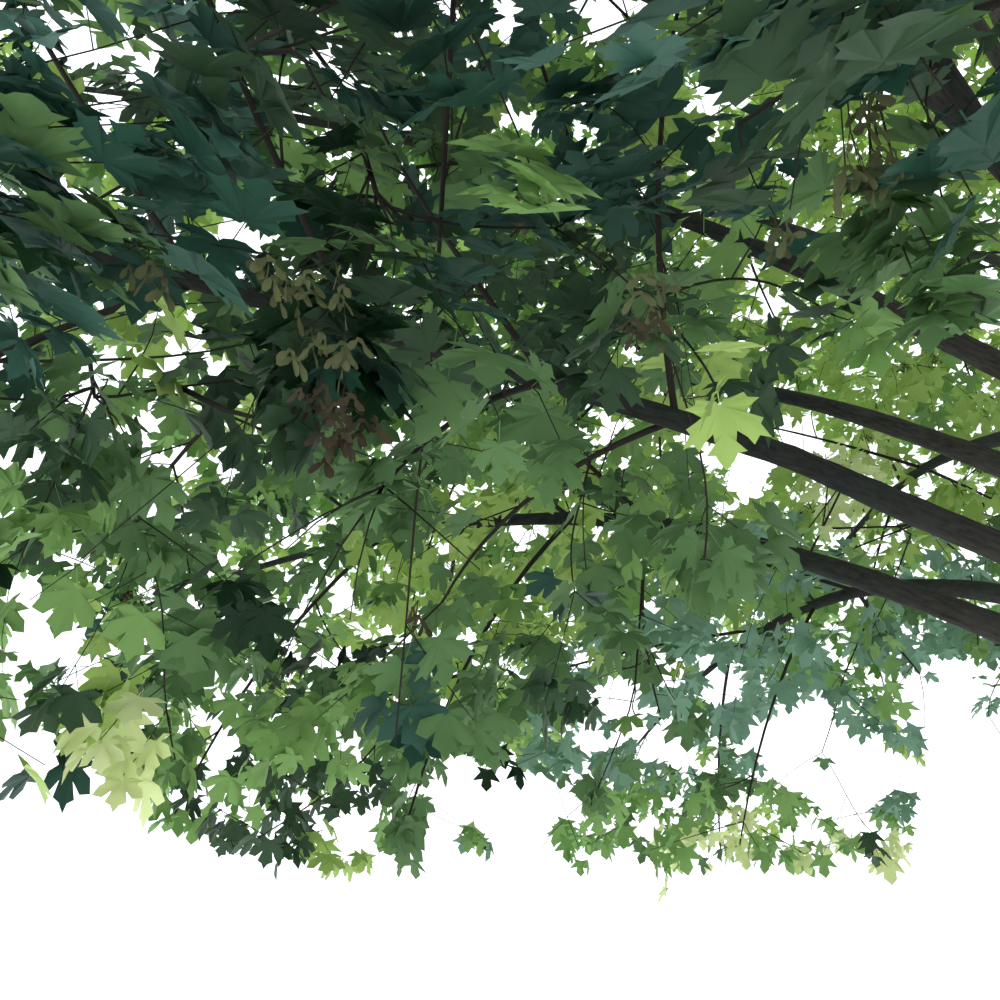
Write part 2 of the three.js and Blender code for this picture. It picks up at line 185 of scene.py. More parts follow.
# Sprays of leaves that stand out, with how far they are
SEEN_SPRAYS = (
    (540, 190, 1.75), (390, 300, 1.8), (700, 310, 2.0), (270, 690, 2.3), (350, 620, 2.2),
    (285, 550, 2.1), (975, 200, 1.7), (790, 210, 1.6), (200, 120, 1.8), (330, 100, 1.8), (640, 60, 1.3),
    (450, 90, 1.8), (30, 60, 1.8), (190, 20, 1.8), (240, 80, 1.8), (30, 130, 1.9), (185, 160, 1.8),
    (260, 20, 1.9), (15, 240, 1.8), (60, 320, 1.9), (150, 250, 2.0), (660, 410, 2.2), (710, 420, 2.3),
    (600, 380, 2.1), (740, 390, 2.4), (480, 570, 2.1), (80, 560, 2.2), (200, 600, 2.2), (500, 420, 2.0),
    (560, 440, 2.2), (900, 340, 2.3), (30, 430, 2.2), (60, 470, 2.4), (20, 560, 2.4), (100, 440, 2.5),
    (140, 480, 2.6), (60, 520, 2.8), (100, 380, 2.4), (20, 490, 3.0), (170, 540, 3.0), (850, 60, 1.3),
    (960, 110, 1.3), (760, 40, 1.35), (560, 45, 1.4), (20, 700, 3.0), (60, 690, 2.9), (100, 740, 3.0),
    (45, 765, 3.0), (90, 700, 3.1), (120, 780, 3.1), (950, 285, 2.0), (890, 265, 2.2), (930, 315, 2.05),
    (985, 300, 2.1), (700, 530, 3.0), (755, 540, 3.0), (650, 520, 3.1), (690, 560, 2.8), (740, 565, 2.8),
    (30, 600, 3.0), (80, 620, 3.1), (230, 825, 5.0), (290, 845, 5.1), (335, 860, 5.2), (200, 800, 4.8),
    (265, 875, 5.2), (165, 850, 4.9), (400, 820, 4.7), (540, 850, 5.0), (600, 840, 5.0), (650, 850, 6.2),
    (700, 860, 6.3), (760, 850, 6.3), (820, 860, 6.5), (880, 860, 6.6), (900, 700, 6.0), (760, 700, 6.0),
    (700, 640, 4.6),
)
# Openings to the sky: the middle and the size of each
OPENINGS = (
    (78, 30, 17), (140, 62, 15), (95, 145, 15), (92, 405, 8), (150, 425, 16), (323, 52, 12),
    (345, 78, 6), (510, 10, 22), (600, 12, 22), (712, 96, 24), (770, 300, 12), (745, 470, 28),
    (790, 445, 20), (525, 540, 12), (60, 650, 20), (320, 665, 8), (612, 430, 10), (660, 395, 6),
    (690, 435, 8), (635, 200, 6), (635, 355, 6), (460, 800, 36), (525, 810, 42), (440, 855, 18),
    (620, 700, 20), (660, 745, 26), (790, 740, 38), (850, 770, 38), (940, 700, 40), (960, 770, 50),
    (725, 690, 16), (20, 500, 8), (400, 435, 5), (20, 750, 22), (310, 605, 8),
)
# Where the near foliage is thin, and lighter sprays show beyond it: the middle and the size of each
GLIMPSES = (
    (880, 90, 40), (960, 60, 35), (780, 225, 25), (700, 240, 30), (250, 420, 30), (740, 330, 30),
    (640, 250, 25), (100, 170, 30), (170, 330, 40), (560, 250, 35), (500, 430, 30), (640, 470, 60),
    (560, 530, 60), (420, 560, 40), (60, 600, 50), (200, 470, 40), (330, 190, 25), (500, 110, 25),
    (480, 330, 25), (780, 90, 40), (820, 160, 30),
)
# The lower edge of the foliage, from the left of the frame to its right
HEM = (
    (0, 790), (110, 800), (150, 920), (200, 950), (330, 915), (440, 905), (560, 870), (660, 875), (800, 860),
    (905, 880), (930, 790), (1000, 690),
)
# Bunches of winged seeds, with how far they are, and whether they are dry
SEED_BUNCHES = (
    (275, 255, 1.75, 0), (300, 268, 1.8, 0), (335, 262, 1.8, 0), (312, 325, 1.8, 0), (345, 330, 1.85, 0),
    (320, 372, 1.85, 1), (345, 385, 1.8, 1), (305, 395, 1.9, 1), (335, 425, 1.85, 1), (365, 405, 1.9, 1),
    (650, 262, 1.95, 0), (652, 300, 1.95, 1), (850, 130, 1.7, 0), (872, 150, 1.75, 0),
    (845, 165, 1.8, 0), (418, 600, 2.6, 1), (775, 215, 2.1, 0), (160, 250, 1.9, 0),
)
# Places whose sprays stand out by their colour, among the sprays that hang near and among those beyond
# MIDWAY: the middle and the size of each. Their greens paint the light and shade that falls on the sprays
# there.
COLOURED_NEAR = (
    (60, 60, 80, "teal"), (160, 140, 70, "teal"), (240, 60, 90, "teal"), (55, 190, 60, "gold"),
    (20, 330, 60, "deep"), (60, 280, 70, "teal"), (170, 210, 80, "deep"), (400, 60, 80, "shade"),
    (560, 60, 110, "teal"), (680, 60, 80, "teal"), (820, 60, 90, "shade"), (940, 70, 100, "shade"),
    (860, 170, 80, "shade"), (960, 150, 60, "deep"), (750, 130, 60, "deep"), (880, 20, 60, "teal"),
    (970, 260, 60, "shade"), (330, 310, 80, "dusk"), (300, 210, 60, "deep"), (450, 170, 80, "deep"),
    (600, 190, 100, "deep"), (60, 430, 60, "shade"), (160, 330, 45, "gold"), (520, 430, 60, "green"),
    (600, 320, 90, "shade"), (740, 220, 60, "shade"), (930, 300, 90, "green"), (935, 205, 25, "fresh"),
    (700, 410, 30, "gold"), (250, 570, 60, "dusk"), (350, 640, 50, "dusk"), (60, 590, 90, "fresh"),
    (150, 660, 80, "green"), (120, 500, 80, "green"), (60, 740, 90, "gold"), (90, 770, 40, "pale"),
    (200, 760, 60, "fresh"), (320, 720, 70, "fresh"), (420, 500, 90, "green"), (560, 520, 80, "fresh"),
    (450, 680, 70, "green"), (650, 470, 60, "green"), (740, 520, 60, "green"), (640, 580, 60, "green"),
    (40, 640, 70, "fresh"), (110, 640, 50, "gold"), (450, 590, 50, "green"), (530, 650, 60, "fresh"),
    (250, 690, 50, "fresh"), (20, 470, 50, "shade"),
)
COLOURED_BEYOND = (
    (640, 580, 90, "fresh"), (760, 620, 110, "haze"), (280, 800, 110, "shade"), (330, 900, 50, "gold"),
    (700, 860, 50, "pale"), (860, 870, 60, "pale"), (490, 880, 60, "haze"), (600, 700, 80, "haze"),
    (900, 640, 110, "haze"), (700, 700, 90, "haze"), (900, 430, 130, "gold"), (830, 330, 120, "gold"),
    (760, 160, 110, "gold"), (930, 60, 110, "gold"), (560, 540, 100, "gold"), (700, 500, 90, "gold"),
    (100, 120, 90, "gold"), (420, 600, 90, "gold"), (250, 350, 90, "gold"), (80, 350, 70, "gold"),
    (640, 380, 60, "gold"), (860, 480, 60, "pale"), (960, 760, 80, "haze"), (830, 590, 60, "fresh"),
    (690, 750, 50, "green"), (880, 700, 40, "fresh"), (640, 660, 40, "green"),
)
MIDWAY = 4.3
# Sprays overhead, which turn their tips to the eye: down to where in the frame, and how far from the eye
OVERHEAD = (330, 3.0)
# How near to the eye leaves come, from the top of the frame down
NEAREST = ((0, 1.15), (400, 1.4), (520, 2.3), (620, 2.6), (1000, 3.0))
# How close ahead of the eye, and how many pixels beside the frame, places are still judged by the
# photograph
LEAST_AHEAD = 0.3
FRAME_MARGIN = 60
# From what looks small to what looks large, in pixels: the share of its own size by which openings reach
# further for it, and the share of that reach that is always open. The rest is open by chance.
LOOKS = (40, 100)
OPENING_ROOM = (0.3, 0.45)
ALWAYS_OPEN = (0.35, 0.85)
RIM_CHANCE = 1.6
# How many broad and how many fine waves go round an opening, and how high they are as shares of its
# radius
RIM_WAVES = ((3, 0.22), (7, 0.16))
GLIMPSE_CHANCE = 0.6
# How far round a bunch of seeds the view to it is kept clear, in pixels and as a share of what would hang
# before it
BUNCH_VIEW = (26, 0.2)
# How ragged the lower edge of the foliage is, in pixels: how high its waves are, their length over 2 pi,
# and the most that chance adds
HEM_WAVES, HEM_TURN, HEM_CHANCE = 16, 17, 30

# Nodes at the end of a shoot, and the room between them
NODES = 5
NODE_STEP = 0.085
# How much that room varies from shoot to shoot, and the share of a shoot that stays bare at its foot
NODE_CHANCE = (0.8, 1.25)
BARE_FOOT = 0.05
# How far from the eye leaves are cut finest, and how far plainest
NEAR_LEAVES, FAR_LEAVES = 2.7, 5.2
# How far a stalk leans out from its shoot, and how steeply pairs may stand up and down
STALK_LEAN = (45, 75)
STALK_STEEPNESS = 0.45
# How far chance turns a stalk round its shoot
STALK_TURN = 20
# The length of a stalk and a leaf's share of the full length, at a shoot's tip and more at each node down
# from it
STALK_LENGTHS = (0.035, 0.017)
LEAF_SHARES = (0.88, 0.05)
# What chance multiplies both by
STALK_CHANCE, LEAF_CHANCE = (0.7, 1.3), (0.72, 1.18)
# How much blades turn to the eye overhead, outwards from the trunk elsewhere, and by chance
PULL_OVERHEAD, PULL_OUTWARDS, PULL_CHANCE = 2, 0.4, 0.25
# How far below level blades point: all of them, more of them for their tier's hang, and less the higher
# they hang
DROOP, DROOP_BY_HANG, DROOP_BY_HEIGHT = 20, 90, 24
DROOP_CHANCE, DROOP_LIMITS = 17, (-15, 85)
# How far a blade rolls to a side, how many leaves are still there, and how much a stalk sinks
ROLL_CHANCE = 18
LEAVES_KEPT = 0.93
STALK_SINK = 0.2
# A leaf's own shape, as ranges that chance picks from
LEAF_RANGES = {
    "width": (0.82, 1.08), "pleat": (0.4, 1.7), "fold": (-0.08, 0.32), "curl": (0.02, 0.32),
    "twist": (-0.2, 0.2),
}
# How far a leaf may pass its space's walls and the lowest leaf of the solids, and how far it reaches
# below its own middle, as a share of its length
LEAF_OVER, LEAF_BELOW = 0.05, 0.4
# Points along each bough that leaves keep clear of, and by how much
LIMB_SAMPLES = 40
LIMB_ROOM = 0.05
# How wide stalks are
LEAF_STALK, SEED_STALK = 0.0026, 0.0016

# The greens from the darkest to the palest, and two that only some places wear. They paint light and
# shade into the leaves' colour: the darker ones painted shade, the lighter ones painted sunlight.
TINTS = ("dusk", "deep", "shade", "green", "fresh", "gold", "pale", "haze", "teal")
# From the tree to the photograph's sun, which is beyond it as the camera sees it, and how much lighter
# the greens are on that side of the crown
SUN_WAY = np.array([0.49, 0.59, 0.64])
SUNNY_GAIN = 0.55
CROWN_MIDDLE = (0, 0, 5)
CROWN_REACH = 5
# How much lighter the top of a mass is than its middle, as painted sunlight, and how much chance there
# is in it
TOP_GAIN = 0.14
LIGHT_CHANCE = 0.2
# The light at which one green gives way to the next
TINT_STEPS = (0.12, 0.27, 0.44, 0.68, 1.08, 1.7)
# How many of the sprays in a coloured place wear its colour
COLOURED_SHARE = 0.7

# The share of shoots that carry seeds, of those the share that are dry, and the pairs in a bunch
SEEDY_SHOOTS = 0.035
DRY_SHARE = 0.12
PAIRS_IN_BUNCH = 6
# How far from its shoot a pair hangs, and how far from straight below, in radians
SEED_DROP = (0.03, 0.075)
SEED_FAN = (0.1, 0.8)
# How far its wings stand from hanging straight, how much chance moves them, and their own shape
WING_SPREAD = (18, 42)
WING_SWAY = 0.12
WING_RANGES = {
    "size": (0.036, 0.05), "width": (0.85, 1.2), "fold": (0, 0.2), "curl": (-0.2, 0.2), "twist": (-0.4, 0.4),
}

# Bark. FURROW_STRETCH: how wide a furrow is, as a share of its length. FURROW_SHADE and PLATE_SHADE: the
# darkest and the palest bark, as shares of its colour: partly the bark's own, partly painted shade in the
# furrows and painted light on the plates. OLD_BARK: how far from the origin's upright line old bark ends,
# and young bark begins. MOSS_TINT and MOSS_SHARE: the green of moss as shares of the bark's colour, and
# the most of it.
FURROW_STRETCH = 0.22
FURROW_SHADE, PLATE_SHADE = 0.4, 1.5
OLD_BARK = (0.2, 1.6)
MOSS_TINT = (0.8, 1.15, 0.7)
MOSS_SHARE = 0.35
# How wide the furrows of the trunk and the boughs are
TRUNK_FURROW, BOUGH_FURROW = 0.022, 0.012

# Rings along the skins of trunk and limbs, and corners round them
TRUNK_STEPS, TRUNK_SIDES = 300, 90
LIMB_STEPS, LIMB_SIDES = 76, 16
TWIG_SIDES, SIDE_TWIG_SIDES, SHOOT_SIDES = 6, 4, 3
# Points of the bough in a limb, before its stem
BOUGH_STEPS = 60
# How much closer together the trunk's rings are near the ground: the power of their order
RING_POWER = 1.15
# Where the trunk's tip begins to narrow and over how much of the height, and how much of its girth it
# loses
TIP_NARROWS, TIP_LOSS = (0.93, 0.07), 0.35
# How crooked boughs are, and the height of their ridges and lumps as shares of their girth
BOUGH_CROOK = 0.02
RIDGE_HEIGHT, LUMP_HEIGHT = 0.035, 0.05

# The stage
FLOOR_RADIUS, FLOOR_SIDES = 60, 64
FLOOR_COLOUR = (0.75, 0.75, 0.73)
SKY_COLOUR, SKY_STRENGTH = (0.93, 0.97, 1.0, 1), 1.75
# The studio's own light, which is soft and on the camera's side of the tree
LIGHT_COLOUR, LIGHT_STRENGTH = (1.0, 0.97, 0.9), 1.6
LIGHT_WIDTH = 25
LIGHT_TURNS = (38, 12, -30)
SENSOR_WIDTH = 36
NEAREST_SEEN = 0.05

UP = np.array([0.0, 0.0, 1.0])
# Vectors times this are laid level
LEVEL = np.array([1.0, 1.0, 0.0])


def unit(vectors):
    """Each vector over its own length."""
    return vectors / np.maximum(np.linalg.norm(vectors, axis=-1, keepdims=True), 1e-12)


# The eye and the photograph's frame

def eye_axes():
    """The way the camera looks, its right and its up."""
    pitch, turn = math.radians(LOOK_UP), math.radians(LOOK_TURN)
    right = np.array([math.cos(turn), -math.sin(turn), 0])
    look = np.array([math.sin(turn) * math.cos(pitch), math.cos(turn) * math.cos(pitch), math.sin(pitch)])
    return look, right, np.cross(right, look)


def on_picture(places):
    """Where places fall in the photograph's frame, in pixels, and how far in front of the eye they
    are."""
    look, right, up = eye_axes()
    away = places - EYE
    deep = away @ look
    scale = FOCAL / np.where(np.abs(deep) < 1e-6, 1e-6, deep)
    return PICTURE / 2 + away @ right * scale, PICTURE / 2 - away @ up * scale, deep


def from_picture(seen):
    """The places of rows of a pixel's two numbers and how far from the eye."""
    seen = np.asarray(seen, float)
    look, right, up = eye_axes()
    across, down = (seen[:, :2] - PICTURE / 2).T / FOCAL
    way = look + np.outer(across, right) - np.outer(down, up)
    return EYE + unit(way) * seen[:, 2:3]


def luck(places):
    """A number from 0 to 1 for each place, as good as random: the part after the point of a large
    multiple of a sine."""
    return np.abs(np.sin(places @ (12.9898, 78.233, 37.719)) * 43758.5) % 1


def ragged(x, y, across, down):
    """How far out an opening's edge is towards each place, as a share of its radius: one, with three
    broad waves and seven fine ones round it."""
    angle = np.arctan2(y - down, x - across)
    broad, fine = RIM_WAVES
    return 1 + broad[1] * np.sin(broad[0] * angle + across) + fine[1] * np.sin(fine[0] * angle + down)


def left_open(places, room):
    """True for places that the photograph shows open: in the cone of an opening, by chance among the near
    foliage of a glimpse, before a bunch of seeds, under the lower edge of the foliage, or nearer to the
    eye than leaves come. room is the size of what stands at each place, in metres."""
    x, y, deep = on_picture(places)
    size = room * FOCAL / np.maximum(deep, LEAST_AHEAD)
    chance = luck(places)
    bare = np.zeros(len(places), bool)
    for across, down, radius in OPENINGS:
        reach = radius * ragged(x, y, across, down) + size * np.interp(size, LOOKS, OPENING_ROOM)
        off = np.hypot(x - across, y - down) / reach
        bare |= off**3 < chance * RIM_CHANCE
        bare |= off < np.interp(size, LOOKS, ALWAYS_OPEN)
    for across, down, radius in GLIMPSES:
        bare |= (np.hypot(x - across, y - down) < radius) & (deep < MIDWAY) & (chance < GLIMPSE_CHANCE)
    for across, down, distance, _ in SEED_BUNCHES:
        bare |= (np.hypot(x - across, y - down) < BUNCH_VIEW[0] + size * BUNCH_VIEW[1]) & (deep < distance)
    waves = HEM_WAVES * np.sin(x / HEM_TURN)
    hem = np.interp(x, *np.array(HEM, float).T) + waves + HEM_CHANCE * chance
    bare |= y + size * 0.5 > hem
    off = np.linalg.norm(places - EYE, axis=1)
    bare |= off < np.interp(y, *np.array(NEAREST).T)
    in_frame = (x > -FRAME_MARGIN) & (x < PICTURE + FRAME_MARGIN) & (y > -FRAME_MARGIN)
    return (bare & (deep > LEAST_AHEAD) & in_frame) | (off < NEAREST[0][1])


# Paths

def bow(start, middle, end, steps):
    """Points of curves that leave start towards middle and come to end from it: with s from 0 to 1 along
    each, start (1 - s)² + middle 2s (1 - s) + end s²."""
    share = np.linspace(0, 1, steps)[:, None]
    start, middle, end = (np.asarray(at, float)[..., None, :] for at in (start, middle, end))
    return start * (1 - share) ** 2 + middle * 2 * share * (1 - share) + end * share**2


def run_along(path):
    """How far along a path each of its points is."""
    return np.append(0, np.cumsum(np.linalg.norm(np.diff(path, axis=0), axis=1)))


def path_at(path, run, at):
    """The points of a path that are as far along it as at says."""
    return np.stack([np.interp(at, run, path[:, i]) for i in range(3)], axis=1)


def even_steps(path, steps):
    """A path's points at even steps along it."""
    run = run_along(path)
    return path_at(path, run, np.linspace(0, run[-1], steps))


def crook(path, rng, size):
    """A path with two slow bends of its own, which leave its ends in place: sines of half a turn and a
    whole one over its length."""
    share = np.linspace(0, 1, len(path))[:, None]
    first, second = rng.normal(size=(2, 3)) * size
    return path + np.sin(np.pi * share) * first * 0.6 + np.sin(2 * np.pi * share) * second * 0.8


def smooth(points):
    """A smooth path through points: between each two, a cubic blend of them and of the two beside
    them."""
    padded = np.vstack([2 * points[0] - points[1], points, 2 * points[-1] - points[-2]])
    share = np.linspace(0, 1, 6, endpoint=False)[:, None]
    parts = []
    for before, start, end, after in zip(padded, padded[1:], padded[2:], padded[3:]):
        parts.append(
            0.5 * (2 * start + (end - before) * share + (2 * before - 5 * start + 4 * end - after) * share**2
                   + (3 * start - before - 3 * end + after) * share**3)
        )
    return np.vstack([*parts, points[-1]])


# The tree's plan, by the part's own rules

def dice(seed):
    """The part's seeded row of numbers from 0 to 1."""
    state = seed

    def roll():
        nonlocal state
        state = (state * 1664525 + 1013904223) % 4294967296
        return state / 4294967296

    for _ in range(8):
        roll()
    return roll


def trunk_axis(share):
    """The trunk's middle at shares of its height: it leans with the square of the share and sways with
    its sines."""
    share = np.asarray(share, float)
    across = TRUNK_LEAN[0] * share**2 + TRUNK_SWAY * np.sin(2 * np.pi * share) * share
    along = TRUNK_LEAN[1] * share**2 + TRUNK_SWAY * np.sin(np.pi * share) * share
    return np.stack([across, along, TRUNK_HEIGHT * share], axis=-1)


def trunk_taper(share):
    """The trunk's radius at shares of its height, without its flare."""
    return TRUNK_TIP_RADIUS + (TRUNK_RADIUS - TRUNK_TIP_RADIUS) * np.maximum(1 - share, 0) ** TRUNK_TAPER


class Space:
    """The space that a mass of foliage keeps to: an ellipsoid, cut by planes that part it from its
    neighbours."""

    def __init__(self, centre, out, half):
        self.centre = centre
        self.axes = np.array([out, np.cross(UP, out), UP])
        self.half = np.array(half, float)
        self.walls = []

    def vector(self, shares):
        """The vector that shares of the half sizes give: outwards, across and upwards."""
        return np.asarray(shares) * self.half @ self.axes

    def shares(self, vectors):
        """Vectors as shares of the half sizes."""
        return vectors @ self.axes.T / self.half

    def part_from(self, other):
        """Adds the wall between this space and another: square to the line between their middles, which
        it divides as their reaches along it are."""
        way = other.centre - self.centre
        distance = np.linalg.norm(way)
        way = way / distance
        mine, theirs = (1 / np.linalg.norm(space.shares(way)) for space in (self, other))
        self.walls.append((way, self.centre @ way + distance * mine / (mine + theirs) - MASS_CLEARANCE))

    def holds(self, places, slack=1.0, over=0.0):
        """True for places inside, with the ellipsoid scaled by slack and the planes moved out by over."""
        inside = np.linalg.norm(self.shares(places - self.centre), axis=-1) <= slack
        for wall, limit in self.walls:
            inside &= places @ wall <= limit + over
        return inside

    def reach(self, point, way):
        """How far it is from a point inside, one way, to the edge."""
        at, step = self.shares(point - self.centre), self.shares(way)
        a, b, c = step @ step, at @ step, at @ at - 1
        far = (-b + math.sqrt(max(b * b - a * c, 0))) / a
        for wall, limit in self.walls:
            if way @ wall > 0:
                far = min(far, (limit - point @ wall) / (way @ wall))
        return max(far, 0)


class Bough:
    """A bough's own curve and girth, and the space of the foliage on its tip."""

    def __init__(self, tier, order, i, bearing):
        out = np.array([math.cos(math.radians(bearing)), math.sin(math.radians(bearing)), 0])
        foot = tier["foot"] + tier["climb"] * ((i * 3) % tier["count"])
        off = abs((bearing - HIGH_SIDE[0] + 540) % 360 - 180) / HIGH_SIDE[1]
        raised = tier["rise"] * HIGH_SIDE_LIFT * max(0, 1 - off**2)
        centre = trunk_axis(1) * LEAN_SHARE
        centre[2] = tier["height"] + raised
        self.name = f"{tier['name']}_{i + 1}"
        self.tier = tier
        self.space = Space(centre + out * tier["out"], out, tier["half"])
        self.start = trunk_axis(foot / TRUNK_HEIGHT)
        self.tip = self.space.centre + self.space.vector((tier["entry"][0], 0, tier["entry"][1]))
        self.span = np.linalg.norm(self.tip - self.start)
        self.middle = (self.start + self.tip) / 2 + UP * tier["arch"] * self.span
        self.way = unit(self.tip - self.middle)
        self.inside_trunk = trunk_taper(foot / TRUNK_HEIGHT)
        self.seed = 5000 + 137 * order + 11 * i

    def girth(self, share):
        """The radius at shares of the bough, with the collar that swells it at the trunk."""
        foot, tip = self.tier["radii"]
        beyond = np.maximum(0, share * self.span - self.inside_trunk)
        return (foot + (tip - foot) * share) * (1 + COLLAR * np.exp(-beyond / COLLAR_LENGTH))

    def edge(self, shares, turned):
        """The edge of the space, from its middle, along the way that shares of the half sizes give.
        turned is the way along the mass, which the shares are turned to."""
        lengthways, sideways, heightways = shares
        outwards, upwards = turned
        along = lengthways * outwards - heightways * upwards
        up = lengthways * upwards + heightways * outwards
        way = unit(self.space.vector((along, sideways, up)))
        return self.space.centre + way * self.space.reach(self.space.centre, way) * EDGE_SHARE


@functools.cache
def plan_boughs():
    """Every bough, tier by tier."""
    boughs = []
    for order, tier in enumerate(TIERS):
        roll = dice(1000 + 77 * order)
        for i in range(tier["count"]):
            jitter = 0 if i == 0 else (roll() * 2 - 1) * BEARING_JITTER
            boughs.append(Bough(tier, order, i, tier["turn"] + 360 * i / tier["count"] + jitter))
    for bough in boughs:
        bough.space.walls += [(-UP, -LOWEST_LEAF), (UP, HIGHEST_LEAF)]
        for other in boughs:
            if other is not bough:
                bough.space.part_from(other.space)
    return boughs


# Wood inside a mass

class Wood:
    """Points of wood that finer twigs may grow from, the way the wood runs at each and its radius
    there."""

    def __init__(self):
        self.points = np.empty((0, 3))
        self.ways = np.empty((0, 3))
        self.girths = np.empty(0)

    def add(self, path, girths, bare=0.25):
        """Takes in a path's points, but for its first share, which stays bare."""
        first = int(len(path) * bare)
        self.points = np.vstack([self.points, path[first:]])
        self.ways = np.vstack([self.ways, unit(np.gradient(path, axis=0))[first:]])
        self.girths = np.append(self.girths, girths[first:])

    def feet(self, targets):
        """For each target the point to grow from: the nearest, where a point that the wood would have to
        turn back from counts as further."""
        away = targets[:, None] - self.points
        span = np.linalg.norm(away, axis=-1)
        ahead = (away * self.ways).sum(-1) / np.maximum(span, 1e-6)
        return (span * (1 + TURN_BACK * (1 - ahead))).argmin(axis=1)


def scatter(space, spacing, rng, taken=()):
    """Places in a space, none nearer to another or to those taken than the spacing: each place drawn at
    random is kept if it has room."""
    count = int(SCATTER_TRIES * np.prod(space.half) / spacing**3)
    drawn = unit(rng.normal(size=(count, 3))) * rng.random((count, 1)) ** (1 / 3)
    places = space.centre + drawn * space.half @ space.axes
    kept = np.empty((len(places) + len(taken), 3))
    filled = len(taken)
    kept[:filled] = np.asarray(taken).reshape(-1, 3)
    for place in places[space.holds(places, slack=SCATTER_SLACK, over=-SCATTER_MARGIN)]:
        if filled == 0 or ((kept[:filled] - place) ** 2).sum(axis=1).min() > spacing**2:
            kept[filled] = place
            filled += 1
    return kept[len(taken):filled]


def twig_curve(start, way, end, hang):
    """The middle that bows a twig from start to end: halfway, moved on along the way the wood runs at its
    foot, and up by its share of hang, so that a twig with hang above 0 comes to its end drooping."""
    span = np.linalg.norm(end - start, axis=-1, keepdims=True)
    return (start + end) / 2 + way * span * FINE_RUN + UP * span * hang


def covered_part(path, least=0.5):
    """A path up to the last of its points that isn't in the open, and at least up to a share of it."""
    covered = np.flatnonzero(~left_open(path, WOOD_ROOM))
    last = max(covered.max(initial=0), int(least * (len(path) - 1)))
    return even_steps(path[:last + 1], len(path))


def grow_stem(bough, wood, rng):
    """The stem of a mass with its radii, and opposite pairs of twigs, all by the part's own rule. The
    stem goes on from the bough's tip to the far end of the space, and each pair turns on from the one
    before. A place that the photograph shows open gets none of it."""
    turned = unit(np.array(bough.tier["aim"], float))
    far = bough.edge((1, 0, 0), turned)
    reach = np.linalg.norm(far - bough.tip)
    stem = bow(bough.tip, bough.tip + bough.way * reach * STEM_RUN, far, STEM_STEPS)
    girths = np.linspace(bough.tier["radii"][1], STEM_TIP_RADIUS, STEM_STEPS)
    twigs = []
    for pair in range(TWIG_PAIRS):
        lengthways = -PAIR_SPREAD + 2 * PAIR_SPREAD * pair / (TWIG_PAIRS - 1)
        sideways = math.sqrt(1 - lengthways**2)
        foot = STEM_SHARE * (PAIRS_AT[0] + PAIRS_AT[1] * pair / (TWIG_PAIRS - 1))
        at = int(round(foot * (STEM_STEPS - 1)))
        start, way = stem[at], unit(stem[at + 1] - stem[at])
        for opposite in (0, 180):
            jitter = rng.uniform(-PAIR_JITTER, PAIR_JITTER)
            angle = math.radians(PAIR_PHASE + pair * PAIR_TURN + opposite + jitter)
            end = bough.edge((lengthways, sideways * math.cos(angle), sideways * math.sin(angle)), turned)
            span = np.linalg.norm(end - start)
            middle = (start + end) / 2 + way * span * TWIG_BEND + UP * span * TWIG_ARCH
            twigs.append(covered_part(bow(start, middle, end, TWIG_STEPS)))
            wood.add(twigs[-1], np.linspace(*TWIG_RADII, TWIG_STEPS))
    stem = covered_part(stem, STEM_SHARE)
    wood.add(stem, girths)
    return stem, girths, twigs


def grow_side_twigs(bough, wood, sizes, rng):
    """Twigs off the wood so far, with their radii: first those that stand out in the photograph, which a
    short curve joins to the wood, and then one to each of a scatter of places that have room, the nearest
    first."""
    twigs, radii = [], []
    for path in seen_twigs():
        if not bough.space.holds(path[len(path) // 2]):
            continue
        start = wood.points[wood.feet(path[:1])[0]]
        whole = np.vstack([bow(start, start + (path[0] - start) * 0.5, path[0], 4)[:-1], path])
        twigs.append(even_steps(whole, SIDE_STEPS))
        radii.append(np.linspace(*SEEN_RADII, SIDE_STEPS))
        wood.add(twigs[-1], radii[-1], bare=0)

    targets = scatter(bough.space, sizes.twig_spacing, rng)
    targets = targets[~left_open(targets, SIDE_ROOM)]
    room = np.linalg.norm(targets[:, None] - wood.points, axis=-1).min(axis=1)
    for target in targets[np.argsort(room)][np.sort(room) > LEAST_SIDE]:
        at = wood.feet(target[None])[0]
        start, way, girth = wood.points[at], wood.ways[at], wood.girths[at]
        span = np.linalg.norm(target - start)
        middle = twig_curve(start, way, target, bough.tier["hang"] * SIDE_HANG)
        twigs.append(crook(bow(start, middle, target, SIDE_STEPS), rng, SIDE_CROOK * span))
        foot = min(girth * FOOT_SHARE, SIDE_FOOT[0] + SIDE_FOOT[1] * span)
        radii.append(np.linspace(foot, SIDE_TIP, SIDE_STEPS))
        wood.add(twigs[-1], radii[-1])
    return twigs, radii


def grow_shoots(bough, wood, sizes, rng):
    """Shoots off the wood so far, with their radii: one to each spray and bunch that stands out in the
    photograph, and to each of a scatter of places between them."""
    named = np.vstack([from_picture(SEEN_SPRAYS), from_picture(SEED_BUNCHES)])
    named = named[bough.space.holds(named)]
    targets = scatter(bough.space, sizes.shoot_spacing, rng, named)
    targets = np.vstack([named, targets[~left_open(targets, SHOOT_ROOM)]])
    feet = wood.feet(targets)
    spans = np.linalg.norm(targets - wood.points[feet], axis=1)
    long_enough = spans > LEAST_SHOOT
    targets, feet, spans = targets[long_enough], feet[long_enough], spans[long_enough]
    starts, girths = wood.points[feet], wood.girths[feet]
    middles = twig_curve(starts, wood.ways[feet], targets, bough.tier["hang"])
    shoots = bow(starts, middles, targets, SHOOT_STEPS)
    foot = np.minimum(girths * FOOT_SHARE, SHOOT_FOOT[0] + SHOOT_FOOT[1] * spans)[:, None]
    return shoots, foot + (SHOOT_TIP - foot) * np.linspace(0, 1, SHOOT_STEPS)


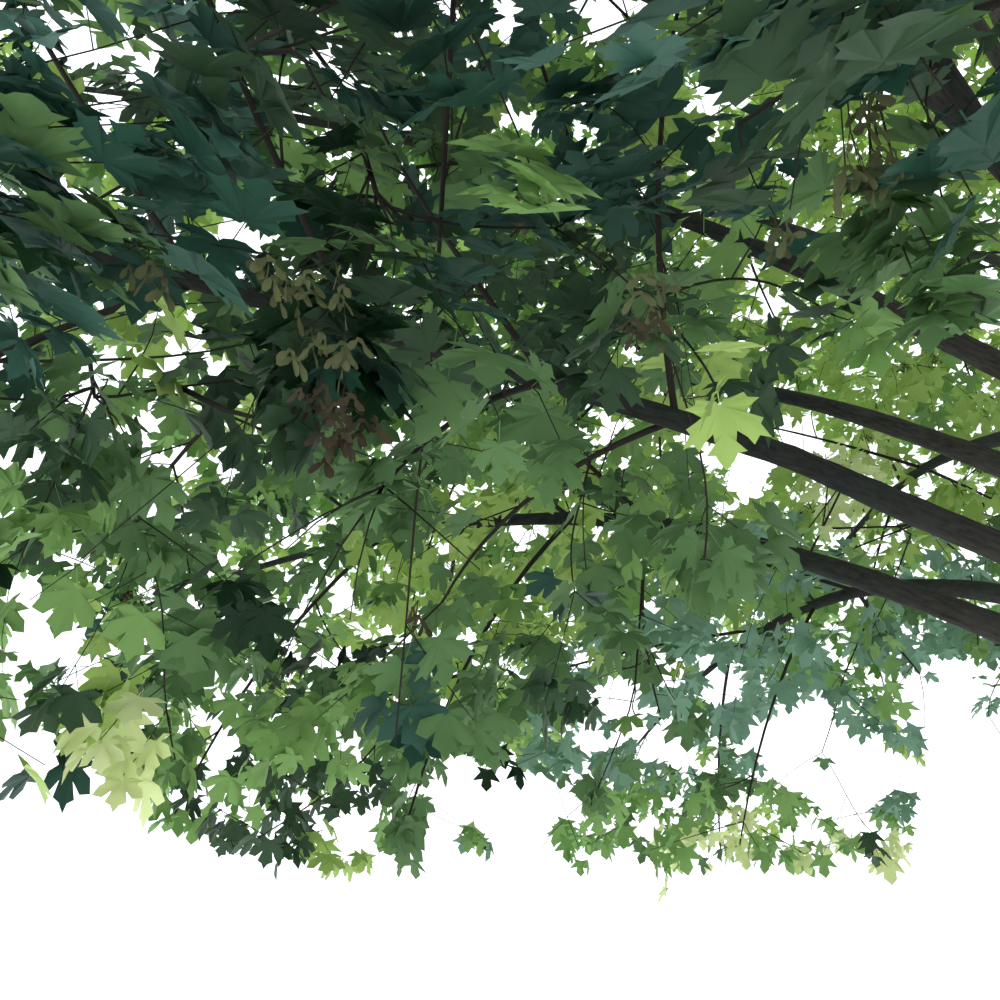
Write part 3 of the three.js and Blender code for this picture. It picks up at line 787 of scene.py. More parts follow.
def grow_mass(bough, sizes):
    """The wood of one mass, from its stem out to its shoots, and the ends of it that carry leaves."""
    rng = np.random.default_rng(bough.seed + sizes.seed)
    wood = Wood()
    stem, stem_girths, twigs = grow_stem(bough, wood, rng)
    side_twigs, side_girths = grow_side_twigs(bough, wood, sizes, rng)
    shoots, shoot_girths = grow_shoots(bough, wood, sizes, rng)
    ends = [even_steps(path[-4:], SHOOT_STEPS) for path in (*twigs, *side_twigs, stem)]
    return {
        "bough": bough,
        "stem": stem,
        "stem_girths": stem_girths,
        "twigs": np.array(twigs),
        "side_twigs": np.array(side_twigs),
        "side_girths": np.array(side_girths),
        "shoots": shoots,
        "shoot_girths": shoot_girths,
        "leafy": np.concatenate([shoots, np.array(ends)]),
    }


@functools.cache
def seen_twigs():
    """The twigs that stand out in the photograph, as paths."""
    return [even_steps(smooth(from_picture(rows)), SEEN_STEPS) for rows in SEEN_TWIGS]


@functools.cache
def grown(sizes):
    """All masses of the tree."""
    return [grow_mass(bough, sizes) for bough in plan_boughs()]


# Shapes

def tubes(paths, girths, sides, relief=None):
    """Limbs as closed skins: round each point of each path stands a ring of corners at the path's girth
    there, with relief added, square to the way the path runs, and both ends close on a corner of the path
    itself."""
    count, steps, _ = paths.shape
    ways = unit(np.gradient(paths, axis=1))
    chord = unit(paths[:, -1] - paths[:, 0])
    level = np.eye(3)[np.abs(chord).argmin(axis=1)][:, None]
    across = unit(np.cross(ways, level))
    through = np.cross(ways, across)
    angle = np.arange(sides) * 2 * np.pi / sides
    radius = np.repeat(girths[..., None], sides, axis=-1)
    if relief is not None:
        radius = radius + relief
    ring = across[:, :, None] * np.cos(angle)[:, None] + through[:, :, None] * np.sin(angle)[:, None]
    skin = (paths[:, :, None] + ring * radius[..., None]).reshape(count, -1, 3)
    corners = np.concatenate([skin, paths[:, :1], paths[:, -1:]], axis=1)
    return joined(corners, ring_faces(steps, sides))


def ring_faces(steps, sides):
    """The faces of a skin of rings, one after another: two to each side between two rings, and a fan at
    each end, round a corner at its foot and one at its tip. The corners are those of the rings, and then
    these two."""
    step, side = (part.ravel() for part in np.mgrid[0:steps - 1, 0:sides])
    here, there = step * sides + side, step * sides + (side + 1) % sides
    first, second = np.arange(sides), (np.arange(sides) + 1) % sides
    foot, tip, last = steps * sides, steps * sides + 1, (steps - 1) * sides
    return np.concatenate(
        [
            np.stack([here, there, there + sides], axis=1),
            np.stack([here, there + sides, here + sides], axis=1),
            np.stack([np.full(sides, foot), second, first], axis=1),
            np.stack([np.full(sides, tip), first + last, second + last], axis=1),
        ]
    )


def joined(corners, faces):
    """Many copies of one shape in one: each copy's corners in a row of their own, all with the same
    faces."""
    count, each, _ = corners.shape
    shifted = faces[None] + np.arange(count)[:, None, None] * each
    return corners.reshape(-1, 3), shifted.reshape(-1, 3)


def together(*shapes):
    """Several shapes in one."""
    offsets = np.cumsum([0] + [len(corners) for corners, _ in shapes])
    corners = np.concatenate([corners for corners, _ in shapes])
    return corners, np.concatenate([faces + offset for (_, faces), offset in zip(shapes, offsets)])


# Outlines. edge: half of a leaf's edge, from beside its foot to its tip, as shares of its length: how far
# across, how far along, and how far it stands up where the blade is pleated between its veins. waist:
# which of these is the notch under the middle lobe. heart: where the veins of that lobe part. Five lobes
# with long pointed teeth.
NEAR_LEAF = {
    "edge": (
        (0.06, -0.08, 0.0), (0.20, -0.11, 0.02), (0.37, -0.15, -0.01), (0.41, -0.07, 0.01),
        (0.59, -0.03, -0.03), (0.45, 0.05, 0.01), (0.34, 0.14, 0.05), (0.44, 0.20, 0.02),
        (0.61, 0.285, -0.01), (0.56, 0.37, 0.0), (0.71, 0.60, -0.04), (0.53, 0.54, 0.0),
        (0.44, 0.67, -0.01), (0.34, 0.54, 0.03), (0.19, 0.42, 0.06), (0.17, 0.58, 0.02),
        (0.33, 0.75, -0.01), (0.18, 0.76, 0.0), (0.12, 0.87, -0.01),
    ),
    "waist": 14, "heart": 0.42,
}
PLAIN_LEAF = {
    "edge": (
        (0.30, -0.13, 0.01), (0.59, -0.04, -0.03), (0.34, 0.14, 0.05), (0.60, 0.285, -0.01),
        (0.71, 0.59, -0.04), (0.43, 0.64, -0.01), (0.19, 0.42, 0.06), (0.31, 0.75, -0.01),
        (0.12, 0.83, 0.0),
    ),
    "waist": 6, "heart": 0.42,
}
FAR_LEAF = {
    "edge": (
        (0.56, -0.1, -0.02), (0.35, 0.15, 0.05), (0.71, 0.56, -0.04), (0.21, 0.46, 0.05),
        (0.27, 0.76, 0.0),
    ),
    "waist": 3, "heart": 0.42,
}
WING = {
    "edge": (
        (0.09, 0.04, 0.0), (0.12, 0.15, 0.02), (0.05, 0.27, 0.0), (0.17, 0.62, 0.02), (0.13, 0.92, 0.0),
    ),
    "waist": 2, "heart": 0.27,
}


def leaf_shape(outline):
    """A leaf's corners and faces: its foot, its heart, the right edge, the tip and the left edge. Up to
    the waist the faces fan out from the foot, and past it from the heart."""
    right = np.array(outline["edge"])
    left = right[::-1] * (-1, 1, 1)
    corners = np.vstack([[0, 0, 0], [0, outline["heart"], 0.02], right, [0, 1, -0.03], left])
    waist, last = outline["waist"], 2 * len(right)
    rim = np.arange(last)
    hub = ((rim >= waist) & (rim < last - waist)).astype(int)
    bridges = [[0, waist + 2, 1], [0, 1, last - waist + 2]]
    return corners, np.vstack([np.stack([hub, rim + 2, rim + 3], axis=1), bridges])


def blades(leaves, outline):
    """Leaves as thin blades. Across and along, a corner is its share of the leaf's size. It stands up by
    its pleat and by the fold times how far across it is, and down by the curl times the square of how far
    along it is."""
    shape, faces = leaf_shape(outline)
    across = shape[:, 0] * leaves["width"][:, None]
    along = np.repeat(shape[None, :, 1], len(across), axis=0)
    stand = (
        shape[:, 2] * leaves["pleat"][:, None]
        + leaves["fold"][:, None] * np.abs(across)
        - leaves["curl"][:, None] * (along**2 + 0.5 * across**2)
        + leaves["twist"][:, None] * across * along
    )
    side = np.cross(leaves["along"], leaves["normal"])
    corners = leaves["root"][:, None] + leaves["size"][:, None, None] * (
        across[..., None] * side[:, None]
        + along[..., None] * leaves["along"][:, None]
        + stand[..., None] * leaves["normal"][:, None]
    )
    return joined(corners, faces)


def ribbons(starts, ends, width):
    """Stalks as narrow strips of two faces from starts to ends."""
    side = unit(np.cross(ends - starts, UP)) * width / 2
    corners = np.stack([starts - side, starts + side, ends + side * 0.7, ends - side * 0.7], axis=1)
    return joined(corners, np.array([[0, 1, 2], [0, 2, 3]]))


# Leaves

def shoot_nodes(paths, rng):
    """The nodes of each shoot, counted from its tip down in even steps of its own, the way it runs at
    each, and which of them carry leaves: those that it has of the last three to five."""
    count = len(paths)
    run = np.linalg.norm(np.diff(paths, axis=1), axis=-1)
    length = run.sum(axis=1)
    run = np.concatenate([np.zeros((count, 1)), np.cumsum(run, axis=1)], axis=1) / length[:, None]
    step = NODE_STEP * rng.uniform(*NODE_CHANCE, (count, 1))
    share = 1 - np.arange(NODES) * step / length[:, None]
    leafy = (share > BARE_FOOT) & (np.arange(NODES) < rng.integers(3, NODES + 1, (count, 1)))
    return *along_paths(paths, run, np.clip(share, 0.0, 0.999)), leafy


def stalk_ways(ways, rng):
    """The way each stalk leaves its node: leaning out from the shoot, the two of a pair to opposite
    sides, and each pair turned square to the one before."""
    count = len(ways)
    shape = (count, NODES, 2)
    hand = np.broadcast_to([1.0, -1.0], shape)
    turn = np.radians(90.0 * (np.arange(NODES) % 2)[None, :, None] + rng.uniform(0, 180, (count, 1, 1)))
    turn = turn + np.radians(rng.uniform(-STALK_TURN, STALK_TURN, shape))
    lean = np.radians(rng.uniform(*STALK_LEAN, shape))
    side = unit(np.cross(ways, UP) + 1e-6)
    over = np.cross(side, ways)
    sidewards = side[:, :, None] * np.cos(turn)[..., None]
    upwards = over[:, :, None] * STALK_STEEPNESS * np.sin(turn)[..., None]
    away = (sidewards + upwards) * (hand * np.sin(lean))[..., None]
    return unit(ways[:, :, None] * np.cos(lean)[..., None] + away)


def blade_ways(mass, node, stalk_way, rng):
    """The way each blade points, and the way its face looks. It heads on from its stalk and outwards from
    the trunk, or towards the eye where its spray hangs overhead. It droops below level, by less the
    higher it hangs unless overhead, and rolls a little to one side."""
    bough = mass["bough"]
    shape = stalk_way.shape[:-1]
    _, down, deep = on_picture(mass["leafy"][:, -1])
    overhead = ((deep > 0) & (deep < OVERHEAD[1]) & (down < OVERHEAD[0]))[:, None, None]
    pull = np.where(
        overhead[..., None], unit((EYE - node) * LEVEL) * PULL_OVERHEAD, unit(node * LEVEL) * PULL_OUTWARDS
    )
    heading = unit(stalk_way * LEVEL + pull + rng.normal(0, PULL_CHANCE, (*shape, 3)) * LEVEL)
    height = bough.space.shares(node - bough.space.centre)[..., 2]
    droop = DROOP + DROOP_BY_HANG * bough.tier["hang"] - DROOP_BY_HEIGHT * height * ~overhead
    droop = np.radians(np.clip(droop + rng.normal(0, DROOP_CHANCE, shape), *DROOP_LIMITS))
    along = heading * np.cos(droop)[..., None] - UP * np.sin(droop)[..., None]
    across = unit(np.cross(along, UP))
    upward = np.cross(across, along)
    roll = np.radians(rng.normal(0, ROLL_CHANCE, shape))
    return along, upward * np.cos(roll)[..., None] - across * np.sin(roll)[..., None]


def leaf_rows(mass, sizes):
    """The leaves of one mass, as rows of places, ways and sizes: at each leafy node of each shoot an
    opposite pair, whose stalks sink a little. Leaves that would leave the space, come to a limb or close
    an opening are left out."""
    bough = mass["bough"]
    rng = np.random.default_rng(bough.seed + sizes.seed + 1)
    paths = mass["leafy"]
    nodes, ways, leafy = shoot_nodes(paths, rng)
    tints = tint_of(paths[:, -1], rng, bough)
    stalk_way = stalk_ways(ways, rng)
    shape = stalk_way.shape[:-1]
    down = np.arange(NODES)[None, :, None]
    stalk = (STALK_LENGTHS[0] + STALK_LENGTHS[1] * down) * rng.uniform(*STALK_CHANCE, shape)
    node = np.broadcast_to(nodes[:, :, None], (*shape, 3))
    along, normal = blade_ways(mass, node, stalk_way, rng)
    size = sizes.leaf_length * rng.uniform(*LEAF_CHANCE, shape) * (LEAF_SHARES[0] + LEAF_SHARES[1] * down)
    rows = {
        "root": node + stalk_way * stalk[..., None] - UP * stalk[..., None] * STALK_SINK,
        "node": node,
        "along": along,
        "normal": normal,
        "size": size,
        **{name: rng.uniform(*ends, shape) for name, ends in LEAF_RANGES.items()},
        "tint": np.broadcast_to(tints[:, None, None], shape),
    }
    kept = np.broadcast_to(leafy[..., None], shape) & (rng.random(shape) < LEAVES_KEPT)
    rows = {name: values[kept] for name, values in rows.items()}
    middle = rows["root"] + rows["along"] * rows["size"][:, None] * 0.5
    fits = bough.space.holds(middle, over=LEAF_OVER) & ~left_open(middle, rows["size"])
    fits &= middle[:, 2] - rows["size"] * LEAF_BELOW > LOWEST_LEAF - LEAF_OVER
    fits &= clear_of_limbs(middle)
    return {name: values[fits] for name, values in rows.items()}


def along_paths(paths, run, share):
    """Points and ways at shares of paths, each between the two of its points that the share falls
    between."""
    last = paths.shape[1] - 2
    at = np.clip((share[..., None] >= run[:, None, :]).sum(axis=-1) - 1, 0, last)
    row = np.arange(len(paths))[:, None]
    low, high = run[row, at], run[row, at + 1]
    part = ((share - low) / np.maximum(high - low, 1e-9))[..., None]
    start, end = paths[row, at], paths[row, at + 1]
    return start + (end - start) * part, unit(end - start)


@functools.cache
def limb_points():
    """Points along every bough, and its radius at each."""
    paths = [bow(bough.start, bough.middle, bough.tip, LIMB_SAMPLES) for bough in plan_boughs()]
    girths = [bough.girth(np.linspace(0, 1, LIMB_SAMPLES)) for bough in plan_boughs()]
    return np.concatenate(paths), np.concatenate(girths)


def clear_of_limbs(places):
    """True for places that stand off every bough. It goes through them 500 at a time, to save memory."""
    points, girths = limb_points()
    clear = np.ones(len(places), bool)
    for some in np.array_split(np.arange(len(places)), max(1, len(places) // 500)):
        far = np.linalg.norm(places[some, None] - points, axis=-1) - girths
        clear[some] = far.min(axis=1) > LIMB_ROOM
    return clear


def tint_of(ends, rng, bough):
    """Which green each spray wears, as painted light and shade: the nearer it is to the crown's sunny side,
    and the higher in its mass, the lighter, with some chance in it. The places of the photograph that stand
    out wear the green that they have there, with the light and shade that it paints."""
    shares = bough.space.shares(ends - bough.space.centre)
    sunward = (ends - CROWN_MIDDLE) / CROWN_REACH @ SUN_WAY
    chance = rng.normal(0, LIGHT_CHANCE, len(ends))
    light = bough.tier["light"] + SUNNY_GAIN * sunward + TOP_GAIN * shares[:, 2] + chance
    tint = np.digitize(light, TINT_STEPS)
    x, y, deep = on_picture(ends)
    for places, nearest, furthest in ((COLOURED_NEAR, 0, MIDWAY), (COLOURED_BEYOND, MIDWAY, 2 * MIDWAY)):
        for across, down, radius, name in places:
            there = (deep > nearest) & (deep < furthest) & (np.hypot(x - across, y - down) < radius)
            tint[there & (rng.random(len(ends)) < COLOURED_SHARE)] = TINTS.index(name)
    return tint


@functools.cache
def all_leaves(sizes):
    """Every leaf of the tree, as rows of places and sizes."""
    masses = [leaf_rows(mass, sizes) for mass in grown(sizes)]
    return {name: np.concatenate([mass[name] for mass in masses]) for name in masses[0]}


def seed_rows(sizes):
    """The wings of every seed, and which of them are dry. A bunch hangs at each named place, and near the
    end of some of the shoots. Its pairs hang on stalks that fan out downwards, and the two wings of a
    pair spread from its middle."""
    rng = np.random.default_rng(sizes.seed + 9)
    tips = np.concatenate([mass["shoots"][:, -2] for mass in grown(sizes)])
    chosen = tips[rng.random(len(tips)) < SEEDY_SHOOTS]
    chosen = chosen[~left_open(chosen, BUNCH_ROOM)]
    bunches = np.vstack([from_picture(SEED_BUNCHES), chosen])
    dry = np.append(np.array(SEED_BUNCHES)[:, 3] > 0, rng.random(len(chosen)) < DRY_SHARE)
    shape = (len(bunches), PAIRS_IN_BUNCH, 2)
    turn = rng.uniform(0, 2 * np.pi, shape[:2])
    lean = rng.uniform(*SEED_FAN, shape[:2])
    fan = np.stack([np.cos(turn) * np.sin(lean), np.sin(turn) * np.sin(lean), -np.cos(lean)], axis=-1)
    heart = bunches[:, None] + fan * rng.uniform(*SEED_DROP, (*shape[:2], 1))
    facing = rng.uniform(0, 2 * np.pi, shape[:2])
    level = np.stack([np.cos(facing), np.sin(facing), np.zeros(shape[:2])], axis=-1)
    spread = (np.radians(rng.uniform(*WING_SPREAD, shape)) * (1, -1))[..., None]
    sway = rng.normal(0, WING_SWAY, (*shape, 3))
    along = unit(np.sin(spread) * level[:, :, None] - np.cos(spread) * UP + sway)
    flat = np.broadcast_to(np.cross(level, UP)[:, :, None], along.shape)
    wings = {
        "root": np.broadcast_to(heart[:, :, None], (*shape, 3)),
        "node": np.broadcast_to(bunches[:, None, None], (*shape, 3)),
        "along": along,
        "normal": unit(flat - along * (flat * along).sum(-1, keepdims=True)),
        **{name: rng.uniform(*ends, shape) for name, ends in WING_RANGES.items()},
        "pleat": np.ones(shape),
    }
    count = np.prod(shape)
    wings = {name: rows.reshape(count, *rows.shape[3:]) for name, rows in wings.items()}
    return wings, np.repeat(dry, PAIRS_IN_BUNCH * 2)


# Finishes

class Reckoned:
    """A socket that can be reckoned with: an expression on it adds the nodes that work it out."""

    def __init__(self, finish, socket):
        self.finish = finish
        self.socket = socket

    def _with(self, operation, *values):
        return self.finish.add("ShaderNodeMath", {"operation": operation}, dict(enumerate(values)))

    def __add__(self, other):
        return self._with("ADD", self, other)

    def __mul__(self, other):
        return self._with("MULTIPLY", self, other)

    def __rsub__(self, other):
        return self._with("SUBTRACT", other, self)

    __radd__ = __add__
    __rmul__ = __mul__


class Finish:
    """A material that is being made."""

    def __init__(self, name):
        self.material = bpy.data.materials.new(name)
        self.material.use_nodes = True
        self.tree = self.material.node_tree
        self.tree.nodes.clear()

    def add(self, kind, settings=None, inputs=None, output=0):
        """Adds a node of a type, with its settings and the values or links of its sockets, and gives its
        output."""
        node = self.tree.nodes.new(kind)
        for name, value in (settings or {}).items():
            if name == "stops":
                self._set_stops(node.color_ramp, value)
            else:
                setattr(node, name, value)
        for name, value in (inputs or {}).items():
            if isinstance(value, Reckoned):
                self.tree.links.new(value.socket, node.inputs[name])
            else:
                node.inputs[name].default_value = value
        return Reckoned(self, node.outputs[output])

    @staticmethod
    def _set_stops(ramp, stops):
        while len(ramp.elements) < len(stops):
            ramp.elements.new(1)
        for element, (place, colour) in zip(ramp.elements, stops):
            element.position = place
            element.color = (*colour, 1)

    def between(self, value, lowest, highest, most=1.0):
        """How far a value has come from its lowest to its highest, times most."""
        return self.add("ShaderNodeMapRange", None, {0: value, 1: lowest, 2: highest, 3: 0.0, 4: most})

    def blend(self, share, first, second):
        """A colour between two."""
        return self.add("ShaderNodeMix", {"data_type": "RGBA"}, {0: share, 6: first, 7: second}, output=2)

    def end(self, inputs):
        """Closes the material with its surface."""
        surface = self.add("ShaderNodeBsdfPrincipled", None, inputs)
        output = self.tree.nodes.new("ShaderNodeOutputMaterial")
        self.tree.links.new(surface.socket, output.inputs["Surface"])
        return self.material


def plain_finish(name, colour, roughness, specular=0.2):
    """One colour all over, for leaves, seeds and twigs, which are coloured piece by piece."""
    return Finish(name).end(
        {"Base Color": (*colour, 1), "Roughness": roughness, "Specular IOR Level": specular}
    )


def bark_finish(name, colour, furrow, grain=None, old_colour=None):
    """Bark: dark furrows that run lengthways between paler plates, mottled, with a breath of green. The
    furrows are dark partly in the bark's own colour and partly as painted shade, and the palest plates are
    partly painted light.
    Upright wood has them by its place, and other wood by the grain that its corners carry. Limbs with an
    old colour have it at the trunk, and turn to their own colour further out."""
    finish = Finish(name)
    if grain:
        place = finish.add("ShaderNodeAttribute", {"attribute_name": grain}, output="Vector")
    else:
        place = finish.add("ShaderNodeTexCoord", output="Object")
    stretch = (1 / furrow, 1 / furrow, FURROW_STRETCH / furrow)
    stretched = finish.add("ShaderNodeMapping", None, {"Vector": place, "Scale": stretch})
    cracks = finish.add("ShaderNodeTexNoise", None, {"Vector": stretched, "Scale": 1.0, "Detail": 5.0})
    mottle = finish.add("ShaderNodeTexNoise", None, {"Vector": place, "Scale": 9.0, "Detail": 3.0})

    # Dark where the furrows sink and pale where the plates stand, mostly by the noise that raises the bump:
    # partly the bark's own colour, partly painted shade and painted light.
    def shades(plates):
        dark = tuple(part * FURROW_SHADE for part in plates)
        light = tuple(min(part * PLATE_SHADE, 1) for part in plates)
        return finish.add(
            "ShaderNodeValToRGB", {"stops": ((0.3, dark), (0.52, plates), (0.75, light))},
            {"Fac": cracks * 0.7 + mottle * 0.3},
        )

    shade = shades(colour)
    if old_colour:
        level = finish.add(
            "ShaderNodeVectorMath", {"operation": "MULTIPLY"},
            {0: finish.add("ShaderNodeTexCoord", output="Object"), 1: (1, 1, 0)},
        )
        off = finish.add("ShaderNodeVectorMath", {"operation": "LENGTH"}, {0: level}, output="Value")
        shade = finish.blend(finish.between(off, *OLD_BARK), shades(old_colour), shade)
    moss = (*(part * tint for part, tint in zip(colour, MOSS_TINT)), 1)
    mossy = finish.blend(finish.between(mottle, 0.55, 0.8, MOSS_SHARE), shade, moss)
    bump = finish.add("ShaderNodeBump", None, {"Strength": 0.6, "Distance": furrow * 0.4, "Height": cracks})
    return finish.end(
        {"Base Color": mossy, "Roughness": 1 - 0.12 * mottle, "Normal": bump, "Specular IOR Level": 0.25}
    )


# Pieces

def add_piece(name, shape, material, nodes):
    """Puts a shape into the scene as a piece that rides on the tree and stands for CAD nodes."""
    corners, faces = shape
    if len(faces) == 0:
        raise RuntimeError(f"{name} has no faces")
    mesh = bpy.data.meshes.new(name)
    mesh.vertices.add(len(corners))
    mesh.vertices.foreach_set("co", np.ascontiguousarray(corners, np.float32).ravel())
    mesh.loops.add(faces.size)
    mesh.loops.foreach_set("vertex_index", np.ascontiguousarray(faces, np.int32).ravel())
    mesh.polygons.add(len(faces))
    mesh.polygons.foreach_set("loop_start", np.arange(0, faces.size, 3, dtype=np.int32))
    mesh.polygons.foreach_set("use_smooth", np.ones(len(faces), bool))
    mesh.update(calc_edges=True)
    mesh.materials.append(material)
    piece = bpy.data.objects.new(name, mesh)
    bpy.context.scene.collection.objects.link(piece)
    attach(piece, "root")
    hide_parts(*nodes)
    return piece


def foliage_nodes():
    """The CAD nodes that twigs, leaves and seeds stand for together."""
    return [f"foliage_{bough.name}" for bough in plan_boughs()]


def trunk_shape(sizes):
    """The trunk's skin: over the height and round it, its taper, the flare's lobes and furrows of bark.
    The furrows are two families of waves that wind up the trunk opposite ways, and the higher of the two
    at each place. Its rings stand closer together near the ground, and it narrows at its tip."""
    share = np.linspace(0, 1, TRUNK_STEPS) ** RING_POWER
    angle = np.arange(TRUNK_SIDES) * 2 * np.pi / TRUNK_SIDES
    height = share[:, None] * TRUNK_HEIGHT
    flare = FLARE_REACH * np.exp(-height / FLARE_HEIGHT) * (0.72 + 0.28 * np.cos(FLARE_LOBES * angle))
    wander = 1.6 * np.sin(height * 2.1) + 0.9 * np.sin(height * 5.3 + 1.0)
    one = np.abs(np.sin(7 * angle + wander + 1.4 * np.sin(height * 7.0 + 2 * np.sin(angle * 2))))
    other = np.abs(np.sin(8 * angle - wander + 1.3 * np.sin(height * 6.1 - 2 * np.cos(angle * 3))))
    furrows = (np.maximum(one, other) - 0.8) * sizes.bark_depth * (1 - 0.6 * share[:, None])
    girth = trunk_taper(share)
    narrow = 1 - TIP_LOSS * np.clip((share - TIP_NARROWS[0]) / TIP_NARROWS[1], 0, 1) ** 2
    path = trunk_axis(share)
    ring = np.stack([np.cos(angle), np.sin(angle), np.zeros(TRUNK_SIDES)], axis=-1)
    radius = (girth * narrow)[:, None] + flare + furrows
    skin = path[:, None] + ring * radius[..., None]
    corners = np.vstack([skin.reshape(-1, 3), path[0], path[-1] + UP * 0.02])
    return corners, ring_faces(TRUNK_STEPS, TRUNK_SIDES)


def limb_paths(sizes):
    """Every bough with the stem that goes on from it: its points at even steps, its radius at each, and
    how far along they are."""
    paths, girths, runs = [], [], []
    for mass in grown(sizes):
        bough = mass["bough"]
        rng = np.random.default_rng(bough.seed + 3)
        lower = crook(bow(bough.start, bough.middle, bough.tip, BOUGH_STEPS), rng, BOUGH_CROOK)
        whole = np.vstack([lower, mass["stem"][1:]])
        girth = np.append(bough.girth(np.linspace(0, 1, BOUGH_STEPS)), mass["stem_girths"][1:])
        run = run_along(whole)
        at = np.linspace(0, run[-1], LIMB_STEPS)
        paths.append(path_at(whole, run, at))
        girths.append(np.interp(at, run, girth))
        runs.append(at)
    return np.array(paths), np.array(girths), np.array(runs)


def limbs_shape(sizes):
    """Every bough and stem as one limb that tapers all the way, with ridges that wind along it and lumps,
    and its grain: for each corner, how far across, how far through and how far along its own limb it
    is."""
    paths, girths, runs = limb_paths(sizes)
    rng = np.random.default_rng(8)
    angle = np.arange(LIMB_SIDES) * 2 * np.pi / LIMB_SIDES
    along = np.arange(LIMB_STEPS)[None, :, None] / LIMB_STEPS * 5.0
    phase = rng.uniform(0, 6.3, (len(paths), 1, 1))
    ridges = np.sin(5 * angle + 1.5 * np.sin(along * 4 + phase) + phase) * RIDGE_HEIGHT
    lumps = np.sin(along * 17 + phase * 3) * np.sin(along * 29 + phase) * LUMP_HEIGHT

    ring = girths[..., None, None] * np.stack([np.cos(angle), np.sin(angle)], axis=-1)
    length = np.broadcast_to((runs + phase[:, 0])[..., None, None], (*ring.shape[:3], 1))
    grain = np.concatenate([ring, length], axis=-1).reshape(len(paths), -1, 3)
    ends = np.stack([np.zeros((len(paths), 2)), np.zeros((len(paths), 2)), runs[:, [0, -1]]], axis=-1)
    shape = tubes(paths, girths, LIMB_SIDES, girths[..., None] * (ridges + lumps))
    return shape, np.concatenate([grain, ends], axis=1).reshape(-1, 3)


# What the user may change

def length_of(name, about, default, least, most):
    """A length that the user may change."""
    return FloatProperty(
        name=name, description=about, default=default, min=least, max=most, unit="LENGTH", subtype="DISTANCE"
    )


class TreeSizes(PropertyGroup):
    """The sizes that the user may change"""

    leaf_length: length_of("Leaf length", "From a leaf's foot to its tip", 0.128, 0.05, 0.3)
    twig_spacing: length_of("Twig spacing", "Room between the ends of side twigs", 0.6, 0.3, 1.5)
    shoot_spacing: length_of("Shoot spacing", "Room between the ends of leafy shoots", 0.33, 0.2, 1.0)
    bark_depth: length_of("Bark depth", "How deep the furrows of the trunk are", 0.012, 0, 0.03)
    seed: IntProperty(name="Seed", description="Changes how the twigs and leaves fall", default=0, min=0)


Sizes = collections.namedtuple("Sizes", TreeSizes.__annotations__)


def sizes_of(context):
    """The sizes as plain values, by which what has grown is kept for the next operator."""
    return Sizes(*(getattr(context.scene.maple_sizes, name) for name in Sizes._fields))


def colour_of(name, about, default):
    """A colour that the user may change."""
    return FloatVectorProperty(
        name=name, description=about, default=default, subtype="COLOR", size=3, min=0, max=1
    )


class TreeColours(PropertyGroup):
    """The colours that the user may change"""

    bark: colour_of("Trunk", "Bark of the trunk", (0.085, 0.075, 0.064))
    # Partly the boughs' own dark bark, partly painted shade: it is kept near black, so that light from the
    # floor doesn't lighten their undersides.
    bough: colour_of("Boughs", "Bark of the boughs", (0.026, 0.029, 0.027))
    twig: colour_of("Twigs", "Twigs and shoots", (0.022, 0.017, 0.014))
    # Apart from green itself, these greens are painted light and shade: the darker ones painted shade, the
    # lighter ones painted sunlight, gold also light that comes through a leaf, and haze a haze of light on
    # far low sprays.
    dusk: colour_of("Dusk green", "Sprays in the darkest shade", (0.009, 0.034, 0.012))
    deep: colour_of("Deep green", "Sprays that hang in the shade, blue-green", (0.026, 0.083, 0.058))
    shade: colour_of("Shade green", "Sprays inside the crown", (0.048, 0.098, 0.05))
    green: colour_of("Green", "Most sprays", (0.115, 0.225, 0.085))
    fresh: colour_of("Fresh green", "Sprays near the rim", (0.235, 0.42, 0.13))
    gold: colour_of("Gold green", "Sprays that the light comes through", (0.43, 0.61, 0.17))
    pale: colour_of("Pale green", "Sprays in full sun", (0.75, 0.85, 0.42))
    haze: colour_of("Haze green", "Far low sprays", (0.22, 0.39, 0.28))
    teal: colour_of("Teal", "Sprays overhead", (0.05, 0.13, 0.098))
    key: colour_of("Seeds", "Bunches of winged seeds", (0.135, 0.15, 0.07))
    dry: colour_of("Dry seeds", "Bunches that have dried", (0.07, 0.055, 0.034))


# Operators

def chosen_colour(context, name):
    """A colour as its three plain values."""
    return tuple(getattr(context.scene.maple_colours, name))


class TREE_OT_trunk(Operator):
    """Adds the trunk with its flared foot and furrowed bark"""

    bl_idname = "maple.trunk"
    bl_label = "Trunk"

    def execute(self, context):
        material = bark_finish("bark_of_trunk", chosen_colour(context, "bark"), TRUNK_FURROW)
        add_piece("trunk_bark", trunk_shape(sizes_of(context)), material, ["trunk"])
        return {"FINISHED"}


class TREE_OT_limbs(Operator):
    """Adds the boughs and the stems that go on from them"""

    bl_idname = "maple.limbs"
    bl_label = "Boughs"

    def execute(self, context):
        # The boughs' own colour is partly their young bark and partly painted shade.
        young_and_shaded, old = (chosen_colour(context, name) for name in ("bough", "bark"))
        material = bark_finish("bark_of_boughs", young_and_shaded, BOUGH_FURROW, "grain", old)
        nodes = [f"bough_{bough.name}" for bough in plan_boughs()]
        shape, grain = limbs_shape(sizes_of(context))
        piece = add_piece("boughs", shape, material, nodes)
        carried = piece.data.attributes.new("grain", "FLOAT_VECTOR", "POINT")
        carried.data.foreach_set("vector", np.ascontiguousarray(grain, np.float32).ravel())
        return {"FINISHED"}


